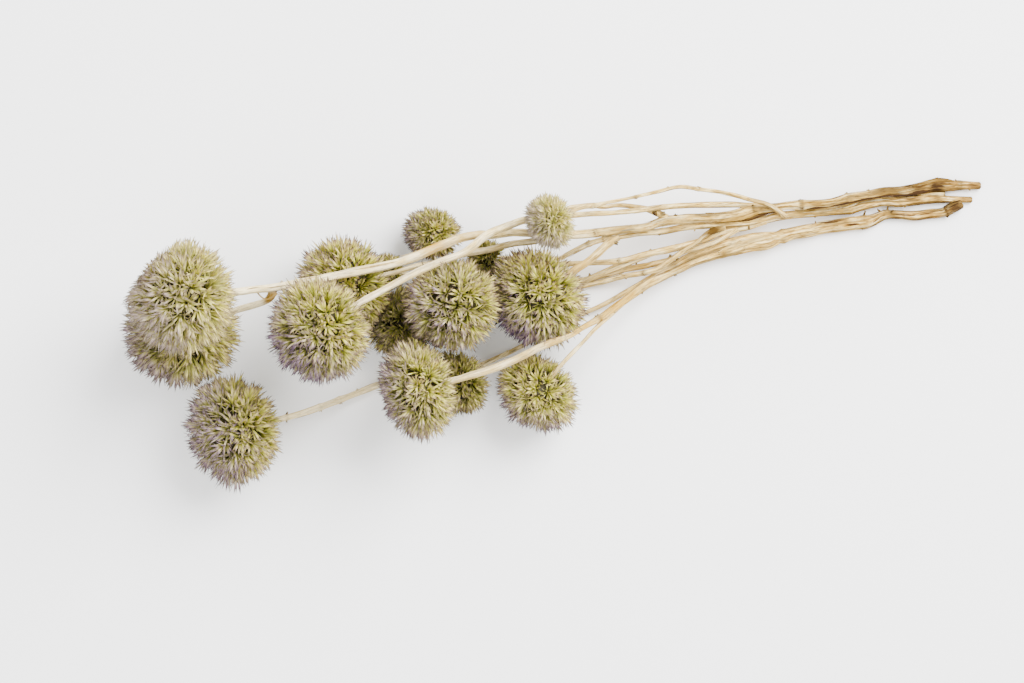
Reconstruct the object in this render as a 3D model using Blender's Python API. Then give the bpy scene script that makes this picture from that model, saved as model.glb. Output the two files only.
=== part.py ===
"""A bunch of dried globe thistles, lying down: three branched stems and their ball-shaped heads.

+Z is up. The stems run along X, with their cut ends at +X and the heads at -X. Places and sizes are given
in millimetres, as they look in plan from an eye straight above the bunch. What lies higher looks larger
and farther out from that eye's axis, so placed() and true_size() bring it back to its real place and size.
"""

import math
from collections import namedtuple

import bmesh
import bpy
import numpy as np
from mathutils import Vector

MM = 0.001

# The eye above the bunch, and the middle of the bunch's outline, which becomes the origin.
EYE_HEIGHT = 2200.0
EYE_AXIS = np.array([-25.5, -3.9])
MIDDLE = np.array([5.071, 3.175])

# Flower heads: a faceted core, with a spike raised from each facet. The core and the shortest spikes are
# shares of the head's reach, and each spike leans by up to a share of its facet.
CORE_SHARE = 0.66
SHORTEST_SPIKE = 0.90
SPIKE_LEAN = 0.09
FLAT_SPIKE = 0.02

# The flat seat for the stem is a ring of points, and the rest follow in a spiral. Both are placed by their
# angle from the stem, in spacings between neighbouring points and in seat angles.
SEAT_SIDES = 6
SEAT_SPACING = 1.1
SPIRAL_START = 1.4

# Spikes near a stem are shortened by this step until they are clear of it at each probe along them.
SHORTENING = 0.02
PROBES = 7
NEAR_HEAD = 1.5

# Stems: rings of corners along a smooth curve.
RING_STEP = 11.0
TRUNK_SIDES = 8
BRANCH_SIDES = 6
SMOOTH_ANGLE = math.radians(50.0)

# Room left between pieces that touch, between a stem's tip and its seat in the head, and between the
# points that stand for a stem's middle line.
CLEARANCE = 0.4
TIP_GAP = 0.3
PROBE_SPACING = 1.0

SEED = 7

# A head's middle, its reach along its stem and across it, and the number of points on its core.
Head = namedtuple("Head", "x y z along across points")
HEADS = {
    "head_a1": Head(-256.0, 27.0, 107.0, 38.5, 42.0, 162),
    "head_a2": Head(-257.0, 1.5, 38.0, 42.0, 40.0, 162),
    "head_a3": Head(-160.0, 4.2, 94.0, 37.0, 39.5, 162),
    "head_a4": Head(-144.6, 34.3, 34.5, 33.5, 36.5, 162),
    "head_a5": Head(-81.6, 72.1, 19.0, 20.0, 20.5, 92),
    "head_b1": Head(-104.0, 9.8, 26.5, 27.0, 28.0, 92),
    "head_b2": Head(-113.1, 44.8, 14.0, 14.5, 15.0, 42),
    "head_b3": Head(-67.6, 23.1, 66.0, 34.0, 34.5, 162),
    "head_b4": Head(-43.1, 54.6, 14.0, 14.5, 15.0, 42),
    "head_b5": Head(-5.3, 26.6, 44.0, 33.0, 37.0, 162),
    "head_b6": Head(0.4, 80.0, 82.0, 18.5, 21.5, 92),
    "head_c1": Head(-221.6, -65.1, 38.0, 33.0, 40.0, 162),
    "head_c2": Head(-91.4, -35.7, 70.0, 29.0, 36.0, 162),
    "head_c3": Head(-63.4, -32.9, 32.0, 20.5, 26.0, 92),
    "head_c4": Head(-8.1, -39.9, 28.5, 26.0, 30.5, 162),
}

# A branch's stem, the head on its end if it has one, and its course: x, y, z and thickness at each point.
Branch = namedtuple("Branch", "stem head course")
BRANCHES = [
    # The uppermost stem, from its cut end to its last fork.
    Branch("stem_a", None, [
        (302.0, 105.2, 2.5, 5.8), (288.0, 105.4, 3.0, 7.2), (277.5, 105.2, 3.4, 8.2),
        (270.5, 105.2, 3.6, 7.8), (260.0, 103.3, 4.8, 7.2), (249.5, 101.3, 6.5, 7.0),
        (235.5, 101.0, 8.0, 5.8), (225.0, 98.7, 10.0, 6.2), (211.0, 96.6, 11.0, 6.3),
        (197.0, 93.1, 12.0, 5.2), (183.0, 92.1, 13.0, 5.4), (177.5, 91.7, 13.4, 6.2),
        (169.0, 91.3, 14.0, 5.4), (158.5, 90.5, 15.0, 5.2), (143.0, 91.0, 17.0, 6.4),
        (134.0, 85.5, 19.0, 6.6), (120.0, 83.5, 21.0, 5.4), (106.0, 83.0, 24.0, 5.2),
        (92.0, 81.2, 28.0, 5.0), (79.5, 80.5, 32.0, 5.8), (71.0, 77.0, 34.0, 5.2),
        (50.0, 74.2, 38.0, 5.2), (33.5, 72.1, 41.0, 6.0), (18.5, 70.9, 44.0, 5.4),
        (4.5, 70.7, 47.0, 5.4),
    ]),
    Branch("stem_a", "head_a1", [
        (10.0, 70.7, 46.0, 4.6), (-15.0, 72.1, 49.0, 5.0), (-26.3, 72.4, 50.0, 5.0),
        (-37.5, 70.7, 51.0, 5.0), (-48.6, 70.7, 53.0, 5.2), (-63.4, 67.9, 56.0, 5.4),
        (-76.0, 63.0, 60.0, 5.6), (-90.0, 56.7, 64.0, 5.6), (-104.0, 51.8, 68.0, 5.6),
        (-138.3, 44.4, 74.0, 5.4), (-160.0, 39.2, 76.0, 5.0), (-189.4, 35.0, 78.0, 4.8),
        (-194.0, 31.0, 79.0, 5.6), (-208.3, 31.6, 87.0, 4.4), (-219.0, 30.4, 94.0, 4.2),
    ]),
    Branch("stem_a", "head_a2", [
        (-193.6, 31.0, 79.0, 4.0), (-197.0, 25.4, 74.0, 4.2), (-206.0, 22.4, 65.0, 4.2),
        (-215.0, 19.2, 57.5, 4.2),
    ]),
    Branch("stem_a", "head_a3", [
        (147.0, 91.0, 16.5, 3.6), (127.5, 92.0, 20.0, 4.2), (111.5, 91.8, 24.0, 4.2),
        (95.5, 91.3, 29.0, 4.2), (81.0, 90.3, 34.0, 4.4), (60.0, 87.8, 40.0, 4.4),
        (43.5, 86.5, 45.5, 4.4), (32.5, 86.1, 49.0, 4.6), (16.5, 84.8, 54.0, 4.8),
        (0.5, 83.3, 58.5, 4.8), (-15.5, 81.5, 63.0, 5.0), (-29.0, 77.0, 67.0, 5.4),
        (-41.0, 72.1, 70.0, 5.6), (-58.5, 58.8, 76.0, 5.2), (-76.0, 51.8, 81.0, 5.0),
        (-90.0, 45.5, 85.0, 4.9), (-104.0, 38.5, 89.0, 4.8), (-118.0, 30.8, 92.0, 4.6),
        (-133.0, 22.6, 95.0, 4.4),
    ]),
    Branch("stem_a", "head_a4", [
        (9.0, 70.7, 46.0, 3.8), (-11.5, 66.2, 45.0, 4.0), (-23.5, 64.8, 44.0, 4.0),
        (-43.0, 60.2, 43.0, 4.0), (-59.0, 57.4, 42.0, 4.0), (-76.0, 51.8, 41.0, 3.8),
        (-92.0, 49.0, 40.0, 3.4), (-107.0, 44.6, 38.5, 3.2), (-114.0, 42.7, 38.0, 3.2),
    ]),
    Branch("stem_a", "head_a5", [
        (80.0, 80.5, 32.0, 3.2), (73.0, 84.7, 31.5, 3.0), (68.5, 88.9, 32.0, 2.8),
        (58.5, 91.3, 34.0, 2.8), (48.0, 92.4, 37.5, 2.8), (38.0, 90.7, 41.5, 2.8),
        (32.0, 90.0, 43.5, 3.2), (16.5, 87.0, 46.0, 2.8), (8.0, 83.0, 46.0, 2.6),
        (0.5, 78.8, 45.0, 2.6), (-7.0, 75.0, 43.5, 2.6), (-15.5, 72.8, 41.5, 2.6),
        (-30.5, 72.2, 37.5, 2.6), (-44.5, 71.0, 32.0, 2.6), (-52.0, 69.9, 28.5, 2.6),
        (-61.0, 68.7, 24.5, 2.6),
    ]),
    # The middle stem, and the stub of a broken side branch near its cut end.
    Branch("stem_b", None, [
        (296.0, 95.3, 2.0, 4.6), (284.5, 95.8, 2.0, 4.8), (275.0, 96.4, 2.7, 6.6),
        (269.0, 96.8, 3.0, 7.0), (256.5, 95.2, 3.1, 6.6), (246.0, 94.2, 3.5, 7.0),
        (235.5, 94.2, 4.2, 6.6), (225.0, 93.1, 5.0, 6.6), (211.0, 89.6, 5.6, 7.2),
        (197.0, 87.5, 6.5, 5.6), (183.0, 86.1, 8.0, 5.4), (169.0, 84.7, 9.5, 5.0),
        (160.0, 82.6, 10.5, 5.4), (149.5, 79.8, 12.0, 4.8), (139.0, 78.4, 13.5, 4.2),
        (120.0, 77.7, 17.0, 4.2), (106.0, 77.0, 20.0, 4.2), (92.0, 75.6, 23.0, 4.0),
        (85.0, 74.2, 25.0, 4.0), (60.0, 71.4, 31.0, 4.0), (38.0, 67.9, 36.0, 4.4),
    ]),
    Branch("stem_b", None, [
        (272.5, 96.6, 2.6, 2.8), (271.0, 100.4, 3.6, 1.8),
    ]),
    Branch("stem_b", "head_b5", [
        (48.0, 69.2, 33.5, 4.2), (41.0, 63.9, 37.5, 4.6), (34.0, 57.3, 41.5, 4.8),
        (26.5, 51.3, 45.5, 4.8), (19.2, 46.9, 49.0, 4.8),
    ]),
    Branch("stem_b", "head_b4", [
        (42.0, 68.6, 35.0, 3.2), (28.1, 65.4, 33.0, 3.2), (21.4, 62.4, 30.0, 3.0),
        (14.7, 57.6, 25.0, 2.8), (8.0, 55.0, 20.5, 2.8), (-2.5, 54.4, 17.0, 2.8),
        (-16.0, 54.4, 15.0, 2.8), (-26.0, 54.6, 14.5, 2.8),
    ]),
    Branch("stem_b", "head_b3", [
        (152.0, 80.2, 11.5, 3.4), (139.0, 76.0, 12.5, 3.6), (128.0, 74.2, 13.0, 3.8),
        (117.0, 70.7, 14.5, 3.6), (109.0, 67.2, 16.0, 3.6), (101.0, 65.1, 17.0, 3.6),
        (90.5, 62.0, 19.0, 4.2), (70.5, 57.6, 20.0, 4.6), (49.5, 52.5, 20.0, 3.8),
        (30.5, 51.1, 17.0, 3.4), (11.5, 50.4, 12.5, 3.4), (-8.0, 49.0, 10.5, 3.2),
        (-22.0, 46.0, 14.0, 3.2), (-31.0, 41.0, 24.0, 3.2), (-38.0, 35.0, 36.0, 3.2),
        (-44.0, 30.0, 47.0, 3.2),
    ]),
    Branch("stem_b", "head_b2", [
        (132.0, 74.8, 13.0, 3.2), (123.0, 69.0, 14.5, 3.4), (117.0, 65.8, 15.5, 3.4),
        (106.5, 62.3, 15.8, 3.4), (95.5, 59.5, 15.2, 3.4), (85.0, 53.4, 13.8, 3.6),
        (70.5, 49.7, 10.5, 3.8), (54.0, 46.9, 8.0, 3.6), (44.0, 44.8, 6.0, 3.6),
        (22.0, 38.5, 3.0, 3.6), (-6.0, 36.4, 2.0, 3.2), (-34.0, 36.5, 2.0, 3.0),
        (-62.0, 39.2, 4.0, 2.8), (-86.5, 42.0, 9.0, 2.6), (-95.0, 43.2, 11.0, 2.6),
    ]),
    Branch("stem_b", "head_b1", [
        (124.0, 78.0, 16.0, 2.6), (117.0, 75.0, 19.5, 2.8), (108.0, 69.3, 21.0, 2.8),
        (104.5, 65.8, 21.5, 2.8), (95.5, 60.2, 20.0, 2.8), (85.0, 52.5, 18.0, 3.2),
        (76.5, 46.9, 16.5, 3.4), (67.5, 44.2, 14.5, 3.4), (51.5, 42.5, 10.0, 3.6),
        (38.0, 37.5, 6.0, 3.6), (24.0, 33.5, 3.2, 3.6), (-6.0, 28.4, 2.2, 3.2),
        (-41.0, 23.8, 2.6, 3.0), (-60.0, 18.9, 8.0, 3.0), (-70.0, 16.5, 13.0, 3.0),
    ]),
    Branch("stem_b", "head_b6", [
        (163.0, 83.3, 10.3, 3.2), (160.0, 85.8, 17.0, 2.8), (156.5, 90.0, 21.5, 2.4),
        (151.5, 92.8, 23.5, 2.2), (141.0, 95.9, 25.0, 2.2), (130.5, 99.1, 26.5, 2.2),
        (120.0, 100.8, 28.5, 2.2), (106.0, 102.6, 32.0, 2.2), (93.0, 104.4, 37.0, 2.4),
        (76.0, 100.8, 44.0, 2.4), (60.5, 97.3, 52.0, 2.4), (49.5, 95.2, 59.0, 2.4),
        (38.0, 92.8, 68.0, 2.4), (31.0, 91.6, 75.0, 3.0), (24.0, 91.0, 83.0, 2.8),
        (18.0, 89.8, 89.0, 2.6), (12.5, 86.8, 91.5, 2.4),
    ]),
    # The lowest stem, whose cut end curls up.
    Branch("stem_c", None, [
        (291.0, 91.0, 6.6, 4.2), (284.5, 89.6, 4.2, 5.0), (277.5, 86.1, 2.8, 5.6),
        (267.0, 85.4, 2.6, 5.6), (256.5, 84.0, 2.6, 5.4), (246.0, 84.7, 2.5, 5.2),
        (235.5, 84.7, 2.7, 5.4), (225.0, 80.5, 3.2, 7.2), (211.0, 78.5, 3.6, 7.6),
        (197.0, 76.6, 4.0, 7.6), (183.0, 73.9, 4.8, 7.6), (169.0, 71.2, 6.0, 7.2),
        (162.0, 69.3, 6.5, 7.2), (156.0, 68.6, 7.0, 6.4),
    ]),
    Branch("stem_c", "head_c1", [
        (163.0, 70.2, 6.5, 4.4), (148.0, 71.0, 7.5, 4.4), (136.0, 69.2, 8.5, 4.6),
        (125.0, 65.6, 9.2, 4.8), (114.3, 61.4, 9.6, 5.0), (107.0, 58.5, 9.6, 5.0),
        (96.4, 54.4, 9.6, 4.8), (87.7, 49.4, 9.6, 4.4), (78.4, 44.6, 9.4, 3.6),
        (72.0, 41.3, 9.0, 3.0), (60.0, 34.3, 7.5, 2.8), (37.0, 21.7, 4.5, 2.8),
        (24.0, 17.5, 3.0, 2.8), (1.0, 4.2, 1.8, 2.8), (-18.5, -7.0, 1.6, 2.8),
        (-43.0, -18.2, 1.6, 2.8), (-63.5, -25.2, 1.6, 2.8), (-90.0, -29.8, 2.0, 3.0),
        (-108.0, -31.0, 3.0, 3.6), (-120.0, -33.8, 4.5, 4.2), (-131.5, -38.3, 6.5, 4.2),
        (-146.4, -43.8, 10.0, 4.4), (-161.8, -49.3, 14.5, 4.4), (-171.9, -53.0, 18.5, 4.2),
        (-182.0, -56.7, 23.0, 4.0),
    ]),
    Branch("stem_c", "head_c2", [
        (163.0, 68.8, 6.5, 4.6), (153.0, 65.0, 7.0, 4.6), (143.0, 62.2, 7.5, 4.6),
        (132.2, 59.6, 8.0, 4.6), (121.5, 57.1, 8.5, 4.6), (110.7, 54.2, 9.0, 4.6),
        (100.0, 50.4, 9.6, 4.6), (92.8, 47.2, 10.6, 4.8), (82.0, 42.2, 12.6, 5.0),
        (70.0, 36.6, 16.0, 5.4), (55.4, 25.8, 23.0, 5.4), (45.1, 18.0, 29.0, 5.4),
        (36.7, 12.4, 35.0, 6.0), (30.2, 8.4, 41.0, 5.0), (22.8, 4.8, 47.0, 5.0),
        (14.5, -0.8, 54.0, 5.0), (3.0, -4.6, 59.5, 4.8), (-7.8, -8.6, 61.5, 4.8),
        (-14.9, -12.3, 62.0, 4.8), (-25.7, -17.4, 63.0, 4.8), (-43.6, -24.5, 65.0, 4.8),
        (-54.4, -27.6, 66.5, 4.8), (-63.0, -30.2, 67.5, 4.6),
    ]),
    Branch("stem_c", "head_c3", [
        (-28.0, -11.2, 1.8, 2.4), (-36.0, -15.8, 6.0, 2.4), (-42.0, -19.0, 12.0, 2.4),
        (-46.0, -21.4, 17.0, 2.4),
    ]),
    Branch("stem_c", "head_c4", [
        (37.5, 13.0, 34.0, 2.8), (32.5, 5.0, 37.0, 2.6), (25.8, -2.4, 39.0, 2.4),
        (17.7, -10.9, 40.5, 2.4), (9.5, -19.6, 41.0, 2.4),
    ]),
]

# Finishes as dried: sage green heads and bleached, woody stems.
HEAD_COLOUR = (0.42, 0.43, 0.24, 1.0)
HEAD_ROUGHNESS = 0.85
STEM_COLOUR = (0.78, 0.66, 0.47, 1.0)
STEM_ROUGHNESS = 0.75

# The rings of a stem or branch: their middles, thicknesses and directions.
Rings = namedtuple("Rings", "middle thickness along")


def placed(x, y, z):
    """A point's real place in millimetres, drawn in towards the eye's axis by its height."""
    seen = np.array([x, y])
    real = EYE_AXIS + (seen - EYE_AXIS) * (1.0 - z / EYE_HEIGHT) - MIDDLE
    return np.array([real[0], real[1], z])


def true_size(seen, z):
    """The real size of what looks this large at height z."""
    return seen * (1.0 - z / EYE_HEIGHT)


class Ball:
    """A head's frame: its middle, the way to its stem, and its oblate form as a matrix."""

    def __init__(self, head, stem_point):
        self.middle = placed(head.x, head.y, head.z)
        towards_stem = stem_point - self.middle
        self.axis = towards_stem / np.linalg.norm(towards_stem)
        along = true_size(head.along, head.z)
        across = true_size(head.across, head.z)
        self.form = across * np.eye(3) + (along - across) * np.outer(self.axis, self.axis)
        self.points = head.points
        self.spacing = math.sqrt(4.0 * math.pi / head.points)
        self.seat_angle = SEAT_SPACING * self.spacing
        self.seat_height = CORE_SHARE * along * math.cos(self.seat_angle)

    def stem_tip(self):
        """Where the stem ends, just off the flat seat."""
        return self.middle + self.axis * (self.seat_height + TIP_GAP)

    def reach_towards(self, direction):
        """How far the head extends in a direction."""
        return np.linalg.norm(self.form @ direction)


def smooth_course(course):
    """Rings at even steps on a cubic curve through the course's points.

    The curve's slope at a point is that of a parabola through the point and its two neighbours, and at the
    two ends it is that of the straight line to the neighbour.
    """
    steps = np.linalg.norm(np.diff(course[:, :3], axis=0), axis=1)
    reached = np.concatenate([[0.0], np.cumsum(steps)])
    slope = np.gradient(course, reached, axis=0, edge_order=1)
    rings = max(2, math.ceil(reached[-1] / RING_STEP)) + 1
    at = np.linspace(0.0, reached[-1], rings)
    left = np.clip(np.searchsorted(reached, at, side="right") - 1, 0, len(steps) - 1)
    step = steps[left][:, None]
    t = ((at - reached[left]) / steps[left])[:, None]
    start, end = course[left], course[left + 1]
    start_slope, end_slope = step * slope[left], step * slope[left + 1]
    place = (
        (2 * t**3 - 3 * t**2 + 1) * start
        + (t**3 - 2 * t**2 + t) * start_slope
        + (3 * t**2 - 2 * t**3) * end
        + (t**3 - t**2) * end_slope
    )
    run = (
        (6 * t**2 - 6 * t) * (start - end)
        + (3 * t**2 - 4 * t + 1) * start_slope
        + (3 * t**2 - 2 * t) * end_slope
    )[:, :3]
    along = run / np.linalg.norm(run, axis=1)[:, None]
    return Rings(place[:, :3], place[:, 3], along)


def ball_points(count, seat_angle):
    """Directions spread evenly over a ball: a ring round the seat at +Z, then a spiral from it to -Z.

    The spiral turns by the golden angle at each point while it goes down by equal steps.
    """
    turn = 2.0 * math.pi * np.arange(SEAT_SIDES) / SEAT_SIDES
    ring = [
        np.sin(seat_angle) * np.cos(turn),
        np.sin(seat_angle) * np.sin(turn),
        np.full(SEAT_SIDES, np.cos(seat_angle)),
    ]
    number = np.arange(count - SEAT_SIDES)
    top = math.cos(SPIRAL_START * seat_angle)
    height = top - (top + 1.0) * (number + 0.5) / (count - SEAT_SIDES)
    turn = number * math.pi * (3.0 - math.sqrt(5.0))
    radius = np.sqrt(1.0 - height**2)
    spiral = [radius * np.cos(turn), radius * np.sin(turn), height]
    return np.concatenate([np.stack(ring, axis=1), np.stack(spiral, axis=1)])


def hull_faces(points):
    """Triangles of the points' convex hull, facing out."""
    bm = bmesh.new()
    for point in points:
        bm.verts.new(point)
    bm.verts.ensure_lookup_table()
    for number, vert in enumerate(bm.verts):
        vert.index = number
    bmesh.ops.convex_hull(bm, input=bm.verts)
    bmesh.ops.triangulate(bm, faces=bm.faces)
    faces = np.array([[vert.index for vert in face.verts] for face in bm.faces])
    bm.free()
    corner = points[faces]
    normal = np.cross(corner[:, 1] - corner[:, 0], corner[:, 2] - corner[:, 0])
    inward = (normal * corner[:, 0]).sum(axis=1) < 0.0
    faces[inward] = faces[inward][:, ::-1]
    return faces


def spike_limit(ball, others, way, stems, base_share):
    """How far out, as a share of the head's reach, each spike may go before it meets something.

    The floor and the plane between two heads cut the share down at once. Past a stem, the share drops by
    small steps until the spike, a cone as wide as its facet at the base, is clear of the stem.
    """
    offset = way @ ball.form.T
    limit = np.ones(len(way))
    down = -offset[:, 2]
    meets_floor = down > ball.middle[2]
    limit[meets_floor] = ball.middle[2] / down[meets_floor]
    for other in others:
        between = other.middle - ball.middle
        distance = np.linalg.norm(between)
        between /= distance
        mine = ball.reach_towards(between)
        theirs = other.reach_towards(between)
        room = distance * mine / (mine + theirs) - 0.5 * CLEARANCE
        limit = np.where(offset @ between * limit > room, room / (offset @ between), limit)

    near = np.linalg.norm(stems.middle - ball.middle, axis=1) < NEAR_HEAD * ball.reach_towards(ball.axis)
    middle = stems.middle[near]
    keep_off = 0.5 * stems.thickness[near] + CLEARANCE
    base_width = 0.5 * CORE_SHARE * ball.spacing * ball.reach_towards(ball.axis)
    for share in np.arange(1.0 - SHORTENING, CORE_SHARE, -SHORTENING):
        clear = np.ones(len(way), bool)
        for part in np.linspace(0.0, 1.0, PROBES):
            reach = base_share + (limit - base_share) * part
            place = ball.middle + offset * reach[:, None]
            apart = np.linalg.norm(place[:, None] - middle, axis=2)
            clear &= (apart > keep_off + base_width * (1.0 - part)).all(axis=1)
        limit = np.where(clear, limit, np.minimum(limit, share))
    return np.maximum(limit, base_share)


def head_surface(ball, others, stems, random):
    """Corners and triangles of a head: the hull of evenly spread points, each facet raised to a spike."""
    unit = ball_points(ball.points, ball.seat_angle)
    faces = hull_faces(unit)
    turn = Vector((0.0, 0.0, 1.0)).rotation_difference(Vector(ball.axis)).to_matrix()
    unit = unit @ np.array(turn).T
    core = ball.middle + CORE_SHARE * unit @ ball.form.T

    seat = (faces < SEAT_SIDES).all(axis=1)
    raised = faces[~seat]
    corner = unit[raised]
    weights = 1.0 / 3.0 + SPIKE_LEAN * random.uniform(-1.0, 1.0, (len(raised), 3))
    way = (corner * weights[:, :, None]).sum(axis=1)
    way /= np.linalg.norm(way, axis=1)[:, None]
    normal = np.cross(corner[:, 1] - corner[:, 0], corner[:, 2] - corner[:, 0])
    base_share = CORE_SHARE * (normal * corner[:, 0]).sum(axis=1) / (normal * way).sum(axis=1)

    wanted = random.uniform(SHORTEST_SPIKE, 1.0, len(raised))
    limit = spike_limit(ball, others, way, stems, base_share)
    share = np.maximum(np.minimum(wanted, limit), base_share)
    flat = share - base_share < FLAT_SPIKE
    tips = ball.middle + (way * share[:, None]) @ ball.form.T

    spiked = raised[~flat]
    tip = len(core) + np.arange(len(spiked))
    sides = [np.stack([spiked[:, k], spiked[:, (k + 1) % 3], tip], axis=1) for k in range(3)]
    corners = np.concatenate([core, tips[~flat]])
    triangles = np.concatenate([faces[seat], raised[flat]] + sides)
    return corners, triangles


def finish(name, colour, roughness):
    """A matt plant finish of its own for a node."""
    material = bpy.data.materials.new(name + "_finish")
    material.use_nodes = True
    shader = material.node_tree.nodes["Principled BSDF"]
    shader.inputs["Base Color"].default_value = colour
    shader.inputs["Roughness"].default_value = roughness
    shader.inputs["Metallic"].default_value = 0.0
    return material


def add_object(name, corners, faces, collection):
    """An object from corners in millimetres and faces."""
    mesh = bpy.data.meshes.new(name)
    mesh.from_pydata((corners * MM).tolist(), [], [list(face) for face in faces])
    item = bpy.data.objects.new(name, mesh)
    collection.objects.link(item)
    return item


def tube(name, rings, sides, collection):
    """A round tube along the rings' middles, with flat ends, pressed flat where it lies on the surface."""
    side = np.cross([0.0, 0.0, 1.0], rings.along)
    side /= np.linalg.norm(side, axis=1)[:, None]
    up = np.cross(rings.along, side)
    angle = 2.0 * math.pi * (np.arange(sides) + 0.5) / sides
    spread = np.cos(angle)[:, None] * side[:, None] + np.sin(angle)[:, None] * up[:, None]
    corners = rings.middle[:, None] + 0.5 * rings.thickness[:, None, None] * spread
    corners = corners.reshape(-1, 3)
    corners[:, 2] = np.maximum(corners[:, 2], 0.0)
    last_ring = len(corners) - sides
    faces = [list(range(sides))[::-1], list(range(last_ring, len(corners)))]
    for first in range(0, last_ring, sides):
        for k in range(sides):
            a = first + k
            b = first + (k + 1) % sides
            faces += [[a, b, b + sides], [a, b + sides, a + sides]]
    return add_object(name, corners, faces, collection)


def build_stem(name, courses):
    """A stem's trunk and branches, joined into one solid."""
    branches = bpy.data.collections.new(name + "_branches")
    trunk = tube(name, courses[0], TRUNK_SIDES, bpy.context.scene.collection)
    for number, rings in enumerate(courses[1:]):
        tube(f"{name}_branch_{number}", rings, BRANCH_SIDES, branches)
    union = trunk.modifiers.new("join", "BOOLEAN")
    union.operation = "UNION"
    union.solver = "EXACT"
    union.operand_type = "COLLECTION"
    union.collection = branches
    depsgraph = bpy.context.evaluated_depsgraph_get()
    joined = bpy.data.meshes.new_from_object(trunk.evaluated_get(depsgraph))
    trunk.modifiers.clear()
    trunk.data = joined
    for item in list(branches.objects):
        bpy.data.objects.remove(item)
    bpy.data.collections.remove(branches)

    bm = bmesh.new()
    bm.from_mesh(joined)
    bmesh.ops.triangulate(bm, faces=bm.faces)
    bm.to_mesh(joined)
    bm.free()
    joined.shade_smooth()
    joined.set_sharp_from_angle(angle=SMOOTH_ANGLE)
    joined.materials.append(finish(name, STEM_COLOUR, STEM_ROUGHNESS))


def branch_rings(branch, balls):
    """The rings of a branch, in real places, with its tip at its head's seat."""
    course = [[*placed(x, y, z), true_size(thick, z)] for x, y, z, thick in branch.course]
    if branch.head:
        course.append([*balls[branch.head].stem_tip(), course[-1][3]])
    return smooth_course(np.array(course))


def middle_lines(courses):
    """The middle lines of many courses as close points, with the thickness at each."""
    middle, thickness = [], []
    for rings in courses:
        for k, length in enumerate(np.linalg.norm(np.diff(rings.middle, axis=0), axis=1)):
            count = math.ceil(length / PROBE_SPACING) + 1
            middle.append(np.linspace(rings.middle[k], rings.middle[k + 1], count))
            thickness.append(np.linspace(rings.thickness[k], rings.thickness[k + 1], count))
    return Rings(np.concatenate(middle), np.concatenate(thickness), None)


def build_bunch():
    """Every stem and head of the bunch."""
    last_points = {branch.head: branch.course[-1] for branch in BRANCHES if branch.head}
    balls = {name: Ball(head, placed(*last_points[name][:3])) for name, head in HEADS.items()}
    courses = {}
    for branch in BRANCHES:
        courses.setdefault(branch.stem, []).append(branch_rings(branch, balls))
    for name, stem in courses.items():
        build_stem(name, stem)

    stems = middle_lines([rings for stem in courses.values() for rings in stem])
    random = np.random.default_rng(SEED)
    for name, ball in balls.items():
        others = [other for other_name, other in balls.items() if other_name != name]
        corners, triangles = head_surface(ball, others, stems, random)
        head = add_object(name, corners, triangles, bpy.context.scene.collection)
        head.data.materials.append(finish(name, HEAD_COLOUR, HEAD_ROUGHNESS))


for leftover in list(bpy.data.objects):
    bpy.data.objects.remove(leftover)
build_bunch()
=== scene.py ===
"""A bunch of dried globe thistles on a pale surface, seen from straight above.

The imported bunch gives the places: three branched stems and fifteen ball-shaped heads. Here each stem gets
its ribs, knots, torn bark and broken twigs, and each head its tufts of narrow, curved bracts. Places and
sizes are in millimetres, as they look in plan from an eye straight above the bunch, and placed() and
true_size() turn them into real ones.
"""

import math
from collections import namedtuple

import bpy
import numpy as np
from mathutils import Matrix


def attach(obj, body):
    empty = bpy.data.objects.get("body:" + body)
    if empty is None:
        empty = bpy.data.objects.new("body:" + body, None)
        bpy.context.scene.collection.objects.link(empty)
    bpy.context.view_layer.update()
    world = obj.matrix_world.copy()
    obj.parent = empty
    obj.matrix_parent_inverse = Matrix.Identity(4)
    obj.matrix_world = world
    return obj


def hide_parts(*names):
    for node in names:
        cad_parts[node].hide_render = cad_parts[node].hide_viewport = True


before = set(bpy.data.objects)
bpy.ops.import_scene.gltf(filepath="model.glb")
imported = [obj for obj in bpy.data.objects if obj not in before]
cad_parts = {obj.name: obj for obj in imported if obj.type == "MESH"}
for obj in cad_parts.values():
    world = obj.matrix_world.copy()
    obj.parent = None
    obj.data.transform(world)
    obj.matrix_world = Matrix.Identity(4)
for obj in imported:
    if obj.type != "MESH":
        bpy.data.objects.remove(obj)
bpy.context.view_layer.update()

MM = 0.001

# The eye above the bunch, and the middle of the bunch's outline, which is the origin.
EYE_HEIGHT = 2200.0
EYE_AXIS = np.array([-25.5, -3.9])
MIDDLE = np.array([5.071, 3.175])

# The camera's sensor, and the width of the photograph on the surface.
SENSOR_WIDTH = 36.0
VIEW_WIDTH = 716.8

# Heads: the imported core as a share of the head's reach, the seat's width as a share of the spacing of the
# core's points, and the gap between the seat and the stem's end.
CORE_SHARE = 0.66
SEAT_SPACING = 1.1
TIP_GAP = 0.3

# The core here, darkened with painted shade so that it reads as the shadowed hollows between the bracts: its
# grid without the poles, its least painted shade, and its mauve.
CORE_ROWS = 18
CORE_COLUMNS = 36
LEAST_CORE_PAINTED_SHADE = 0.4
CORE_MAUVE = 0.6

# How much the tufts turn away from the stem.
STEM_BIAS = 0.16

# Bristles in a tuft, how far from its middle they are rooted as a share of the head's size, and the steps
# along them and along the bracts.
BRISTLES = 11
BRISTLE_SPREAD = 0.05
BRISTLE_STEPS = 2
BRACT_STEPS = 4

# Half the width of a bract or bristle at places on its way from 0 to 1, and how far its keel stands off,
# both as shares of the greatest half-width.
BLADE_PLACES = (0.0, 0.25, 0.75, 1.0)
BLADE_WIDTHS = (0.5, 1.0, 0.76, 0.0)
KEEL = 0.55

# Stems: the step between rings, the trunks' places in the list of branches, and the corners in a ring.
RING_STEP = 1.7
TRUNKS = (0, 6, 14)
TRUNK_SIDES = 30
BRANCH_SIDES = 18

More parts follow.
